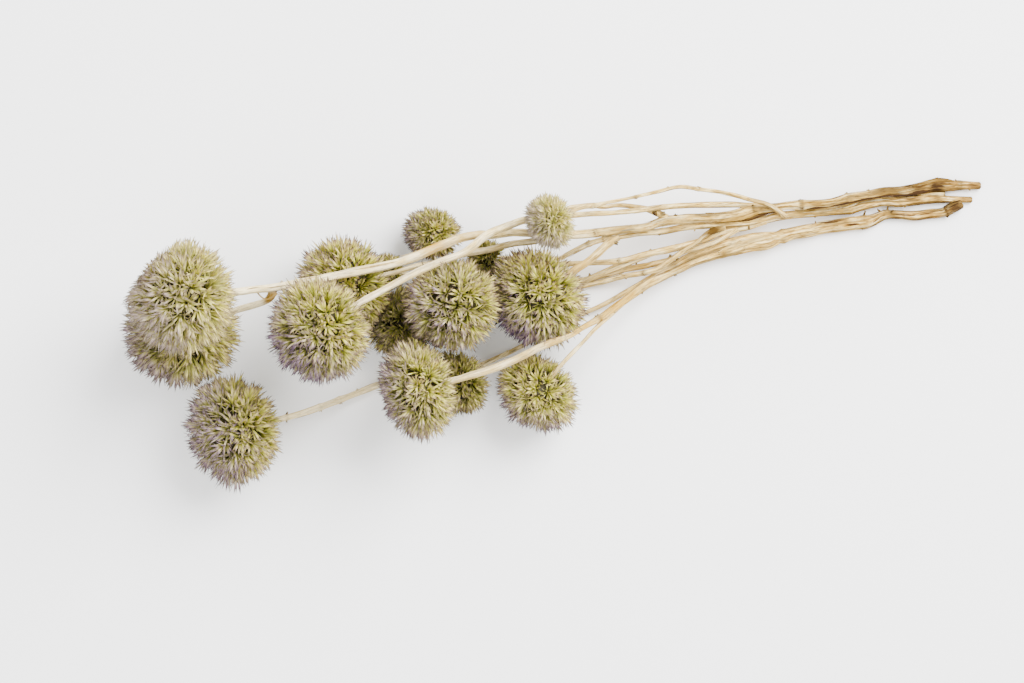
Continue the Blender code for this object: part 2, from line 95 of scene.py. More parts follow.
# The bark's relief, as shares of the radius: how many ribs go round and their height, the length in which
# they drift, the length and height of the slow waves, the flare at a side branch's root and the length in
# which it fades. A phase is drawn from the range of phases.
RIBS = ((5.0, 0.050), (8.0, 0.040), (3.0, 0.035))
RIB_DRIFT = 38.0
WAVES = ((7.0, 0.045), (3.1, 0.035))
FLARE = 0.30
FLARE_LENGTH = 5.0
PHASES = (0.0, 6.0)

# The bark's painted shade: darker along both edges of the outline seen from above (the angle round the stem,
# the reach in radians and how dark), and in the grooves between the ribs, and how it grows with the bark's
# age. How brown the ring at a knot is.
PAINTED_EDGE_SHADE = ((2.87, 0.36, 0.85), (0.20, 0.26, 0.45))
GROOVE_SHADE = 6.0
MOST_GROOVE_SHADE = 0.6
YOUNG_SHADE = 0.30
SHADE_BY_AGE = 0.85
KNOT_BROWN = 0.22

# A branch's ends: the share to which the last ring narrows, how far a cut end stands out at its jagged ring
# and its middle, and how deep the far end is hollow at its ring and its middle.
END_SHARE = 0.6
JAGGED = (0.3, 0.9)
CUT_MIDDLE = 0.5
HOLLOW_RING = 0.6
HOLLOW_MIDDLE = 0.8

# Spurs: corners in a ring, the rise of one that points across its branch and of one that points nearly
# along it, and its wear. The rings go outwards from inside the branch: how far out, in shares of the
# branch's radius and of the spur's length, and the ring's radius as a share of half the spur's thickness.
SPUR_SIDES = 9
SPUR_RISE = 0.35
STEEP_RISE = 1.6
NEARLY_ALONG = 0.7
SPUR_WEAR = 0.3
SPUR_RINGS = np.array([(0.3, 0.0, 1.5), (0.9, 0.0, 1.25), (1.0, 0.5, 0.95), (1.05, 1.0, 0.7)])

# Loose strips: corners in a ring, their depth as a share of their width, and their wear.
STRIP_SIDES = 6
STRIP_DEPTH = 0.35
STRIP_WEAR = 0.2

# Slivers of bark: how far apart along a trunk and a side branch, and how many rings each has. Then, from
# least to most, their length, their angle round the branch, their lift off the bark, half their width as a
# share of the branch's thickness, and how much their age, brown, orange and wear differ from the branch's.
# The last is the least height that they keep.
TRUNK_SLIVER_STEP = 6.0
BRANCH_SLIVER_STEP = 15.0
SLIVER_ROWS = 9
SLIVER_LENGTHS = (8.0, 34.0)
SLIVER_ANGLES = (-0.35, 0.35 + math.pi)
SLIVER_LIFTS = (-0.2, 0.9)
SLIVER_WIDTHS = (0.05, 0.12)
SLIVER_LOOKS = ((-0.40, -0.30, -0.70, 0.0), (0.35, 0.50, 0.25, 0.6))
SLIVER_FLOOR = 0.05

# Room kept between bracts and the surface, the stems and the neighbouring heads.
FLOOR_ROOM = 0.2
STEM_ROOM = 0.5
HEAD_ROOM = 0.3

# The share of the way back that bracts are pressed by a neighbouring head, and on a side that was pressed
# flat. Heads with more room than this between them aren't pressed. The bracts' tips reach this share of a
# head's size, and they are bent off the stems that come this near to them.
NEIGHBOUR_PRESS = 0.82
SIDE_PRESS = 0.56
NEIGHBOUR_ROOM = 4.0
FARTHEST_TIP = 1.15
STEM_REACH = 8.0

# The surface's half-width and how far it lies below the bunch, and the world's light, in Blender's units.
FLOOR_REACH = 4.0
FLOOR_DROP = 0.0003
WORLD_LIGHT = 1.7

SEED = 11

# A head's middle, its reach along its stem and across it, the points on the imported head's core, and its
# finish here: its tufts, how dark it is (paler below 0), which is partly its own colour and partly painted
# shade and painted light set head by head, how much mauve its tips have, and how firm it is.
Head = namedtuple("Head", "x y z along across points tufts shade mauve firm")
HEADS = {
    "head_a1": Head(-257.6, 27.4, 107.0, 40.5, 42.0, 162, 90, -0.14, 1.00, 1.0),
    "head_a2": Head(-256.6, 2.6, 38.0, 43.5, 40.6, 162, 90, -0.08, 1.00, 1.0),
    "head_a3": Head(-160.0, 4.2, 94.0, 37.0, 39.5, 162, 86, -0.02, 0.90, 1.0),
    "head_a4": Head(-143.2, 33.8, 34.5, 35.5, 38.4, 162, 82, 0.00, 0.35, 1.7),
    "head_a5": Head(-81.4, 71.7, 19.0, 23.2, 19.8, 92, 66, 0.10, 0.60, 1.0),
    "head_b1": Head(-104.0, 9.8, 26.5, 27.0, 28.0, 92, 66, 0.38, 0.30, 1.0),
    "head_b2": Head(-113.1, 44.8, 14.0, 14.5, 15.0, 42, 40, 0.25, 0.10, 1.0),
    "head_b3": Head(-67.3, 22.5, 66.0, 34.4, 35.6, 162, 82, -0.02, 0.50, 1.0),
    "head_b4": Head(-43.1, 54.6, 14.0, 14.5, 15.0, 42, 40, 0.45, 0.05, 1.0),
    "head_b5": Head(-7.7, 26.9, 44.0, 34.0, 38.8, 162, 82, 0.00, 0.65, 1.0),
    "head_b6": Head(1.0, 80.0, 82.0, 18.7, 21.8, 92, 66, -0.18, 1.20, 1.0),
    "head_c1": Head(-220.9, -65.9, 38.0, 33.2, 40.8, 162, 86, -0.05, 1.00, 1.0),
    "head_c2": Head(-91.7, -37.0, 70.0, 27.8, 37.2, 162, 80, -0.05, 0.80, 1.0),
    "head_c3": Head(-63.4, -32.9, 32.0, 20.5, 26.0, 92, 60, 0.30, 0.20, 1.0),
    "head_c4": Head(-7.4, -39.9, 28.5, 25.2, 32.2, 162, 76, -0.04, 0.75, 1.0),
}

# The side on which a head was pressed flat: its way in plan in degrees from the +X axis, and how far out it
# lies as a share of the head's reach.
PRESSED = {"head_a1": (137.0, 0.62)}

# How the heads of each size are made, by the points on their packed core: the core's size here, where the
# bracts are rooted, their length and half their width, as shares of the head's reach, and bracts per tuft.
Make = namedtuple("Make", "core root length half_width bracts")
MAKES = {
    162: Make(0.60, 0.64, 0.410, 0.0222, 27),
    92: Make(0.50, 0.57, 0.445, 0.0275, 28),
    42: Make(0.46, 0.54, 0.500, 0.0345, 24),
}

# A branch's stem, the head on its end if it has one, and its course: x, y, z and thickness at each point.
# The first branch of each stem is its trunk.
Branch = namedtuple("Branch", "stem head course")
BRANCHES = [
    # The uppermost stem, from its cut end to its last fork.
    Branch("stem_a", None, [
        (302, 105.2, 2.5, 5.2), (288, 105.4, 3, 6.6), (277.5, 105.2, 3.4, 8), (270.5, 105.2, 3.6, 8.3),
        (260, 103.3, 4.8, 7.7), (249.5, 101.3, 6.5, 7.5), (235.5, 101, 8, 6.2), (225, 98.7, 10, 6.6),
        (211, 96.6, 11, 6.7), (197, 93.1, 12, 5.6), (183, 92.1, 13, 5.8), (177.5, 91.7, 13.4, 6.6),
        (169, 91.3, 14, 5.8), (158.5, 90, 15, 5.8), (144, 88.4, 17, 7), (134, 85.2, 19, 7.9),
        (120, 83.2, 21, 7.1), (106, 82.4, 24, 6.6), (92, 81.6, 28, 6.8), (79.5, 80.2, 32, 6.6),
        (71, 77, 34, 5.6), (50, 74.2, 38, 5.6), (33.5, 72.1, 41, 6.4), (18.5, 70.9, 44, 5.8),
        (4.5, 70.7, 47, 5.8),
    ]),
    Branch("stem_a", "head_a1", [
        (10, 70.7, 46, 5.1), (-15, 72.1, 49, 5.5), (-26.3, 72.4, 50, 5.5), (-37.5, 70.7, 51, 5.5),
        (-48.6, 70.7, 53, 5.7), (-63.4, 67.9, 56, 5.9), (-76, 63, 60, 6.2), (-90, 56.7, 64, 6.2),
        (-104, 51.8, 68, 6.2), (-138.3, 44.2, 74, 5.9), (-160, 39.6, 76, 5.7), (-177, 36.6, 77, 5.5),
        (-193.6, 33.8, 79, 5.5), (-208.3, 32.2, 87, 5.3), (-219, 30.8, 94, 5.1),
    ]),
    Branch("stem_a", "head_a2", [
        (-192.6, 32, 77, 3.8), (-194.6, 27.2, 74, 4), (-206, 21.6, 65, 4.8), (-215, 19.2, 57.5, 4.4),
    ]),
    Branch("stem_a", "head_a3", [
        (147, 91, 16.5, 3.6), (127.5, 92, 20, 4.2), (111.5, 91.8, 24, 4.2), (95.5, 91.3, 29, 4.2),
        (81, 90.3, 34, 4), (60, 87.6, 40, 3.6), (43.5, 86, 45.5, 3.5), (32.5, 85.6, 49, 3.6),
        (16.5, 84.4, 54, 4), (0.5, 83.3, 58.5, 4.8), (-15.5, 81.5, 63, 5), (-29, 77, 67, 5.4),
        (-41, 72.1, 70, 5.6), (-58.5, 58.8, 76, 5.2), (-76, 51.8, 81, 5), (-90, 45.5, 85, 4.9),
        (-104, 38.5, 89, 4.8), (-118, 30.8, 92, 4.6), (-133, 22.6, 95, 4.4),
    ]),
    Branch("stem_a", "head_a4", [
        (9, 70.7, 46, 4.2), (-11.5, 66.2, 45, 4.4), (-23.5, 64.8, 44, 4.4), (-43, 60.2, 43, 4.4),
        (-59, 57.4, 42, 4.4), (-76, 51.8, 41, 4.2), (-92, 49, 40, 3.7), (-107, 44.6, 38.5, 3.5),
        (-114, 42.7, 38, 3.5),
    ]),
    Branch("stem_a", "head_a5", [
        (83, 82.6, 32, 4), (76.5, 86, 31.8, 4.8), (69.5, 88.6, 32, 3.8), (58.5, 90.7, 34, 3.3),
        (48, 91.4, 37.5, 3.2), (38, 90.2, 41.5, 3), (31, 91.4, 43.5, 3.2), (22, 91, 45.5, 2.8),
        (14, 89.6, 46, 2.8), (6, 84.4, 46, 2.8), (0.5, 78.8, 45, 2.8), (-7, 75, 43.5, 2.8),
        (-15.5, 72.8, 41.5, 2.8), (-30.5, 72.2, 37.5, 2.8), (-44.5, 71, 32, 2.8), (-52, 69.9, 28.5, 2.8),
        (-61, 68.7, 24.5, 2.8),
    ]),
    # The middle stem, and the stub of a broken side branch near its cut end.
    Branch("stem_b", None, [
        (296, 95.3, 2, 4.4), (287, 95.5, 2, 4.6), (278.8, 95.8, 2.2, 4.8), (275.8, 96, 2.9, 5.6),
        (269, 96.2, 3, 6.4), (256.5, 95.2, 3.1, 7.3), (246, 94.2, 3.5, 7.7), (235.5, 94.2, 4.2, 7.3),
        (225, 93.1, 5, 7.3), (211, 89.6, 5.6, 7.9), (197, 87.5, 6.5, 6.2), (183, 86.1, 8, 5.9),
        (169, 84.7, 9.5, 5.5), (160, 83.6, 10.5, 5.9), (149.5, 81, 12, 5.4), (139, 79, 13.5, 4.8),
        (120, 77.7, 17, 4.6), (106, 77, 20, 4.6), (92, 75.6, 23, 4.4), (85, 74.2, 25, 4.4),
        (60, 71.4, 31, 4.4), (38, 67.9, 36, 4.8),
    ]),
    Branch("stem_b", None, [
        (258, 97.2, 3.2, 3), (266, 98.6, 3.6, 4), (272, 99, 3.6, 4), (277.6, 99, 3.4, 4),
    ]),
    Branch("stem_b", "head_b5", [
        (48, 69.2, 33.5, 4.7), (41, 63.9, 37.5, 5.2), (34, 57.3, 41.5, 5.4), (26.5, 51.3, 45.5, 5.4),
        (19.2, 46.9, 49, 5.4),
    ]),
    Branch("stem_b", "head_b4", [
        (42, 68.6, 35, 3.5), (28.1, 64.4, 33, 3.7), (21.4, 61.2, 30, 3.6), (14.7, 57.9, 26, 3.5),
        (8, 54.4, 21, 3.2), (-2.5, 54.4, 17, 3), (-16, 54.4, 15, 3), (-26, 54.6, 14.5, 3),
    ]),
    Branch("stem_b", "head_b3", [
        (152, 80.2, 11.5, 3.7), (139, 76, 12.5, 4), (128, 74.2, 13, 4.2), (117, 70.7, 14.5, 4),
        (109, 67.2, 16, 4), (101, 65.1, 17, 4), (90.5, 62, 19, 4.6), (70.5, 57.6, 20, 5.1),
        (49.5, 52.5, 20, 4.2), (30.5, 51.1, 17, 3.7), (11.5, 50.4, 12.5, 3.7), (-8, 49, 10.5, 3.5),
        (-22, 46, 14, 3.5), (-31, 41, 24, 3.5), (-38, 35, 36, 3.5), (-44, 30, 47, 3.5),
    ]),
    Branch("stem_b", "head_b2", [
        (132, 74.8, 13, 3.5), (123, 69, 14.5, 3.7), (117, 65.8, 15.5, 3.7), (106.5, 62.3, 15.8, 3.7),
        (95.5, 59.5, 15.2, 3.7), (85, 53.4, 13.8, 3.9), (70.5, 49.7, 10.5, 4.1), (54, 46.6, 8, 3.9),
        (44, 43.8, 6, 3.9), (22, 38.5, 3, 3.9), (-6, 36.4, 2, 3.5), (-34, 36.5, 2, 3.2), (-62, 39.2, 4, 3),
        (-86.5, 42, 9, 2.8), (-95, 43.2, 11, 2.8),
    ]),
    Branch("stem_b", "head_b1", [
        (123, 76.6, 16.5, 3.8), (117, 74.4, 18.5, 4.4), (108, 69.3, 21, 3), (104.5, 65.8, 21.5, 3.1),
        (95.5, 60.2, 20, 3.1), (85, 52.5, 18, 3.5), (76.5, 46.9, 16.5, 3.7), (67.5, 44.2, 14.5, 3.7),
        (51.5, 41.6, 10, 3.7), (38, 38, 6, 3.7), (24, 35.2, 3.2, 3.7), (-6, 28.4, 2.2, 3.5),
        (-41, 23.8, 2.6, 3.3), (-60, 18.9, 8, 3.3), (-70, 16.5, 13, 3.3),
    ]),
    Branch("stem_b", "head_b6", [
        (166, 83.6, 9.5, 3.7), (162.5, 86.4, 15, 3.7), (157, 90.2, 19.5, 3.4), (151.5, 92.8, 23.5, 2.9),
        (141, 95.5, 25, 3.1), (130.5, 98.6, 26.5, 3), (120, 100.8, 28.5, 2.7), (106, 102.6, 32, 2.7),
        (93, 104.4, 37, 2.9), (76, 100.8, 44, 2.5), (60.5, 97.3, 52, 2.2), (49.5, 95, 59, 2.4),
        (38, 92.8, 68, 2.8), (31, 91.2, 74, 3.4), (24.5, 90.2, 79, 3.2), (19, 88.4, 82, 3),
    ]),
    # The lowest stem, whose cut end curls up.
    Branch("stem_c", None, [
        (289.4, 92.4, 5.4, 6), (286, 91, 4.9, 7.4), (281.5, 88.8, 4, 7.2), (277.5, 86.7, 3.2, 6.4),
        (267, 85.4, 2.6, 6.5), (256.5, 84, 2.6, 6.3), (246, 84.7, 2.5, 6), (235.5, 84.7, 2.7, 6.3),
        (225, 80.5, 3.2, 8.4), (211, 78.5, 3.6, 8.8), (197, 76.6, 4, 8.8), (183, 73.9, 4.8, 8.8),
        (169, 71.2, 6, 8.4), (162, 69.3, 6.5, 8.4), (156, 68.6, 7, 7.4),
    ]),
    Branch("stem_c", "head_c1", [
        (163, 70.2, 6.5, 4.8), (148, 70, 7.5, 5.6), (136, 67.8, 8.5, 5.9), (125, 65, 9.2, 5.9),
        (114.3, 61.2, 9.6, 5.7), (107, 58.5, 9.6, 5.5), (96.4, 54.4, 9.6, 5.3), (87.7, 49.4, 9.6, 4.8),
        (78.4, 44.6, 9.4, 4), (72, 41.3, 9, 3.3), (60, 34.2, 7.5, 3.3), (37, 21.2, 4.5, 3.1),
        (24, 15.7, 3, 2.8), (1, 4.2, 1.8, 3), (-18.5, -7, 1.6, 3.1), (-43, -18.2, 1.6, 3.1),
        (-63.5, -25.2, 1.6, 3.1), (-90, -29.8, 2, 3.3), (-108, -31, 3, 4), (-120, -34.5, 4.5, 4.6),
        (-131.5, -39, 6.5, 4.5), (-146.4, -44.8, 10, 4.6), (-161.8, -50.5, 14.5, 4.6),
        (-171.9, -53.8, 18.5, 4.6), (-182, -56.7, 23, 4.4),
    ]),
    Branch("stem_c", "head_c2", [
        (163, 68.8, 6.5, 5), (155, 65, 7, 7.2), (143, 63, 7.5, 7.8), (132.2, 60.4, 8, 7.2),
        (121.5, 57.4, 8.5, 6.2), (110.7, 54.2, 9, 5), (100, 50.4, 9.6, 5), (92.8, 47.2, 10.6, 5.2),
        (82, 42.2, 12.6, 5.4), (70, 36.6, 16, 5.8), (55.4, 26.2, 23, 5.4), (45.1, 18.8, 29, 5),
        (36.7, 12.8, 35, 4.8), (30.2, 9.2, 41, 4.2), (22.8, 5, 47, 3.9), (14.5, 0, 54, 4),
        (3, -4.2, 59.5, 4.9), (-7.8, -8.6, 61.5, 5.2), (-14.9, -12.3, 62, 5.2), (-25.7, -17.4, 63, 5.2),
        (-43.6, -24.5, 65, 5.2), (-54.4, -27.6, 66.5, 5.2), (-63, -30.2, 67.5, 5),
    ]),
    Branch("stem_c", "head_c3", [
        (-28, -11.2, 1.8, 2.4), (-36, -15.8, 6, 2.4), (-42, -19, 12, 2.4), (-46, -21.4, 17, 2.4),
    ]),
    Branch("stem_c", "head_c4", [
        (64, 32.3, 18.9, 1.8), (57, 26.2, 22.4, 2), (50, 20.2, 26.2, 2.4), (43, 14.1, 31, 2.8),
        (36.2, 8.2, 35.2, 2.9), (31.6, 3.8, 37, 2.8), (25.8, -2.6, 39, 2.7), (17.7, -10.9, 40.5, 2.8),
        (9.5, -19.6, 41, 2.8),
    ]),
    # A twig of the middle stem that lies across its neighbours.
    Branch("stem_b", None, [
        (74, 58, 19.5, 3), (64.5, 54.4, 18.5, 3.7), (54.5, 50.6, 16, 4.3), (44, 46.6, 13, 4.6),
        (35, 42.8, 10, 4.4), (26, 38.9, 7, 4), (20, 37, 4, 3),
    ]),
]

# Knots that ring a branch, by its place in the list: how far along X, the swell and the length.
KNOTS = {
    0: [(288, 0.06, 2), (276, 0.08, 5), (177.5, 0.1, 2), (143, 0.05, 5), (80, 0.05, 3.5), (33.5, 0.08, 2.2),
        (211, 0.07, 3)],
    1: [(-48, 0.07, 3), (-187.5, 0.1, 1.6)],
    2: [(-194, 0.4, 2.4)],
    3: [(81, 0.1, 1.6), (-29, 0.08, 3)],
    5: [(32, 0.18, 1.4)],
    6: [(211, 0.12, 2), (162, 0.12, 2.4), (270, 0.12, 4), (85, 0.08, 3)],
    8: [(42, 0.14, 2.4)],
    9: [(28.5, 0.2, 1)],
    10: [(90, 0.12, 1.6), (49.5, 0.22, 1)],
    11: [(85, 0.14, 1.8), (29, 0.12, 1.2)],
    12: [(50, 0.2, 1.6), (67, 0.16, 1.2)],
    13: [(104.6, 0.24, 1.6), (61, 0.22, 1.2), (31, 0.24, 1.4)],
    14: [(279, 0.16, 1.2), (222, 0.12, 3), (164, 0.18, 1.6), (236, 0.1, 3)],
    15: [(-146, 0.2, 1.6), (-160, 0.16, 1.4), (-184, 0.18, 1.2), (86.5, 0.1, 2)],
    16: [(34.6, 0.14, 1.6), (64.8, 0.08, 1.6), (121.5, 0.08, 2), (93, 0.08, 2.6)],
}

# Stains on a branch's bark: how far along X, the reach along X, and how brown and how orange.
STAINS = {
    0: [(302, 2.5, 0.45, 0), (288, 2.5, 0.55, 0), (271, 7, 1, 0), (257, 9, 0.75, 0), (238, 15, 0.75, 0.1),
        (186, 9, 0.35, 0.1), (177, 2, 0.7, 0), (143, 2, 0.7, 0), (128, 10, 0.2, 0.15), (106, 10, 0.3, 0.1),
        (80, 7, 0.4, 0.1), (50, 12, 0.45, 0.1), (33, 2.5, 0.5, 0)],
    1: [(-80, 8, 0.15, 0.9), (-58, 22, 0.05, 0.45), (-15, 5, 0.4, 0)],
    2: [(-194.5, 3.5, 0.85, 0.5)],
    3: [(75, 6, 0.3, 0), (-5, 5, 0.35, 0)],
    4: [(-10, 12, 0.35, 0), (-34, 8, 0.3, 0)],
    5: [(56, 12, 0.35, 0.25), (26, 8, 0.3, 0.45)],
    6: [(296, 2.5, 0.4, 0), (272, 4, 0.5, 0), (258, 5, 0.3, 0), (208, 7, 0.4, 0.2), (163, 4, 0.35, 0),
        (179, 13, 0.4, 0.2), (60, 9, 0.2, 0.2)],
    7: [(277.4, 1.2, 0.8, 0), (268, 6, 0.2, 0)],
    8: [(22, 8, 0.1, 0.8), (36, 8, 0.1, 0.2)],
    9: [(28, 1.5, 0.45, 0)],
    10: [(64, 9, 0.1, 0.4), (49.5, 1.5, 0.5, 0)],
    11: [(66, 12, 0.2, 0.5), (88, 5, 0.4, 0.1)],
    12: [(115, 6.5, 1, 0.1), (67, 2, 0.6, 0)],
    13: [(61, 2, 0.55, 0), (31, 1.6, 0.5, 0.1)],
    14: [(286, 9, 0.8, 0), (279, 1.6, 0.9, 0), (240, 6, 0.65, 0.1), (221, 3, 0.4, 0.1),
         (200, 7, 0.25, 0.1)],
    15: [(-110, 80, 0.1, 0.12), (88, 4, 0.55, 0.1), (100, 8, 0.25, 0.1)],
    16: [(122, 3, 0.6, 0.1), (90, 7, 0.35, 0.1), (48, 12, 0.1, 0.85), (24, 9, 0.05, 0.8),
         (35, 1.8, 0.8, 0.2), (4, 6, 0.1, 0.7), (-30, 40, 0.08, 0.12)],
}

# Broken twigs and thorny scars of a branch: how far along X, the way it points in plan in degrees from the
# +X axis, how far it stands out of the bark, its thickness, and how brown it is.
Spur = namedtuple("Spur", "x way length thickness brown")
SPURS = {
    0: [(270.4, 80, 1.2, 1.8, 0.5), (273.2, 104, 1.8, 1.4, 0.5), (287.6, 118, 1.4, 1.2, 0.4),
        (225, 100, 0.6, 2.4, 0.4), (210, 105, 0.6, 2.6, 0.4), (176.5, 95, 0.4, 2.6, 0.7),
        (142.5, 85, 0.3, 2.8, 0.8), (87.2, 60, 1, 2.2, 0.8), (33.4, 200, 0.1, 3.2, 0.5),
        (293, -70, 0.5, 2, 0.3), (252, -100, 0.5, 2.4, 0.7)],
    1: [(-187.5, 75, 1.3, 1.8, 0.5), (-63, 110, 0.4, 2, 0.2), (-150, 80, 0.4, 1.8, 0.2)],
    5: [(74.5, -65, 2.4, 3, 1), (79, 15, 3, 2.8, 0.55)],
    6: [(140.4, -80, 2.2, 1.4, 0.8), (103, -110, 1.6, 1, 0.2), (78, -70, 0.4, 2.4, 0.6),
        (210.5, -60, 0.9, 2, 0.6), (213, 60, 0.8, 1.6, 0.4), (162, 60, 0.8, 2.6, 0.2),
        (186, -80, 0.3, 2, 0.8), (249, -85, 0.5, 2, 0.4)],
    8: [(44.4, -25, 2.2, 2.6, 0.8)],
    9: [(28.4, 130, 0.6, 2.2, 0.45)],
    10: [(71, 90, 0.2, 2.2, 0.6), (49.4, 190, 0.6, 2.4, 0.5)],
    11: [(62, 95, 2.6, 1.3, 1), (85.2, 80, 1.8, 1.8, 0.6)],
    12: [(50, 80, 0.5, 2.4, 0.4), (54, -80, 0.4, 1.6, 0.35), (67.4, 210, 0.8, 2, 0.5)],
    13: [(104.6, 100, 0.3, 2.4, 0.6), (61.2, -95, 0.4, 2.2, 0.55), (31, 170, 0.4, 2.6, 0.5),
         (84, 90, 0.3, 1.8, 0.3)],
    14: [(219.4, 72, 4.4, 1.6, 0.75), (218, -60, 0.8, 2.2, 0.5), (234.6, 140, 3.4, 1.4, 0.75),
         (236, 80, 2.8, 1.3, 0.75), (238.4, 48, 3.6, 1.4, 0.75), (188, 95, 1.3, 1.2, 0.7),
         (164.6, 80, 0.5, 3.2, 0.4), (279, -75, 0.6, 2.6, 0.8)],
    15: [(-183.6, 80, 1.7, 1.6, 0.8), (-183, -85, 1.4, 1.4, 0.8), (-145.6, -75, 0.8, 2.6, 0.5),
         (-160, -80, 0.7, 2.4, 0.4), (-134, 100, 0.3, 2, 0.3), (92, 120, 0.6, 2.4, 0.8)],
    16: [(35, 120, 0.8, 3, 0.6), (64.8, -70, 0.6, 2.2, 0.7), (44.5, -60, 0.5, 2, 0.6),
         (87, -60, 0.4, 2.4, 0.7), (121.4, 170, 0.2, 2.8, 0.4), (138, 200, 0.2, 2.2, 0.35),
         (-30, 90, 0.4, 2, 0.4)],
    19: [(29, 92, 1.5, 1.8, 0.7)],
}

# Loose strips of bark: the stem, the age, brown and orange, and the line as points of x, y, z and half the
# width.
Strip = namedtuple("Strip", "stem age brown orange line")
STRIPS = [
    # The torn bark between the upper and the middle stem, partly dark as painted shadow between them, and what
    # hangs from it.
    Strip("stem_a", 0.8, 0.62, 0, [
        (160, 87.4, 14, 0.8), (152, 86.2, 15, 1.5), (144, 83.8, 15.4, 2.1), (135, 80.8, 15.6, 2),
        (126, 79.2, 16.5, 1.4), (117, 78.4, 18, 0.8),
    ]),
    Strip("stem_a", 0.5, 0.35, 0.5, [
        (158, 89.4, 16.4, 0.6), (148, 87.6, 18, 1.6), (138, 83.8, 21, 1.8), (128, 81.4, 22.8, 1),
        (121, 80.2, 23.6, 0.5),
    ]),
    # The outer bark of the lower stem, which ends in a point past its fork.
    Strip("stem_c", 0.35, 0.05, 0.15, [
        (164, 70.8, 8.4, 0.8), (155, 69.2, 9.6, 2.4), (144.5, 66.7, 10, 3.4), (134, 63.8, 10.4, 3.4),
        (125.7, 60.8, 10.8, 2.2), (118, 57.8, 11.2, 0.5),
    ]),
    # The dry leaf stalk at the fork to the two left heads.
    Strip("stem_a", 0.4, 0.55, 0.2, [
        (-190.5, 30.4, 77.5, 1.5), (-192.8, 27.6, 78.2, 1.2), (-196.6, 25.6, 79, 0.5),
        (-200.4, 26.8, 79.8, 0.5), (-203.6, 30.2, 80.8, 0.5),
    ]),
    # The dark crack along the upper stem, partly painted shadow where it meets the middle stem, and the dark
    # upper edge of the lower one.
    Strip("stem_a", 0.9, 0.85, 0, [
        (177.5, 89.2, 14.5, 0.5), (186, 89.8, 14.4, 0.9), (197, 90.8, 13.6, 0.7), (211, 93.6, 13.1, 0.8),
        (225, 96.6, 12.9, 0.9), (235.5, 98.4, 10.4, 0.8), (242, 98.6, 9.9, 0.4),
    ]),
    Strip("stem_c", 0.8, 0.7, 0, [
        (190, 78.7, 6.7, 0.4), (196, 79.6, 7.6, 0.7), (202.7, 80.6, 7.3, 0.9), (207.5, 81.2, 7, 0.6),
        (211.5, 81.8, 6.7, 0.4),
    ]),
    # Bark that peels near the cut ends, and a dark strip along the upper stem's lower edge that is partly a
    # crack and partly painted shadow.
    Strip("stem_a", 0.7, 0.55, 0.1, [
        (284, 108.2, 5.4, 0.6), (279, 108.8, 6.8, 1.4), (272, 109, 7.4, 1.7), (264, 107.2, 8.6, 1.2),
        (255, 105, 9.8, 0.6),
    ]),
    Strip("stem_a", 0.9, 1, 0, [
        (241.2, 98.2, 9.8, 0.5), (248.2, 99, 9.6, 1.3), (256.6, 100.2, 8.8, 1.5), (263.6, 101.6, 7.8, 1.3),
        (269.9, 103.6, 7.8, 0.5),
    ]),
]

Rings = namedtuple("Rings", "middle thickness along side up travelled seen_x")
Surface = namedtuple("Surface", "corners triangles look grain")


def placed(x, y, z):
    """A point's real place in millimetres, drawn in towards the eye's axis by its height."""
    seen = np.array([x, y])
    real = EYE_AXIS + (seen - EYE_AXIS) * (1.0 - z / EYE_HEIGHT) - MIDDLE
    return np.array([real[0], real[1], z])


def true_size(seen, z):
    """The real size of what looks this large at height z."""
    return seen * (1.0 - z / EYE_HEIGHT)


def unit(vectors):
    """Each vector over its own length."""
    return vectors / np.linalg.norm(vectors, axis=-1, keepdims=True)


def turns(sides):
    """Angles at even steps once round."""
    return 2.0 * math.pi * np.arange(sides) / sides


def golden_turns(number):
    """The angle of each numbered place on a golden-angle spiral."""
    return number * math.pi * (3.0 - math.sqrt(5.0))


def turned(angle, first, second):
    """The first direction turned towards the second by each angle."""
    return np.cos(angle)[..., None] * first + np.sin(angle)[..., None] * second


def bell(at, middle, reach):
    """A bell curve, which is 1 at its middle and 1/e at its reach."""
    return np.exp(-((at - middle) / reach) ** 2)


def linear(hex_colour):
    """A colour from its six-digit sRGB code, in Blender's linear values."""
    shares = [int(hex_colour[k:k + 2], 16) / 255.0 for k in (1, 3, 5)]
    return [s / 12.92 if s <= 0.04045 else ((s + 0.055) / 1.055) ** 2.4 for s in shares] + [1.0]


class Ball:
    """A head's frame: its middle, the way to its stem, and its oblate form as a matrix."""

    def __init__(self, head, stem_point):
        self.middle = placed(head.x, head.y, head.z)
        self.axis = unit(stem_point - self.middle)
        along = true_size(head.along, head.z)
        across = true_size(head.across, head.z)
        self.form = across * np.eye(3) + (along - across) * np.outer(self.axis, self.axis)
        self.size = (along * across * across) ** (1.0 / 3.0)
        self.firm = head.firm
        self.seat_angle = SEAT_SPACING * math.sqrt(4.0 * math.pi / head.points)
        self.seat_height = CORE_SHARE * along * math.cos(self.seat_angle)

    def stem_tip(self):
        """Where the stem ends, just off the flat seat."""
        return self.middle + self.axis * (self.seat_height + TIP_GAP)

    def reach_towards(self, directions):
        """How far the head extends in each direction."""
        return np.linalg.norm(directions @ self.form, axis=-1)


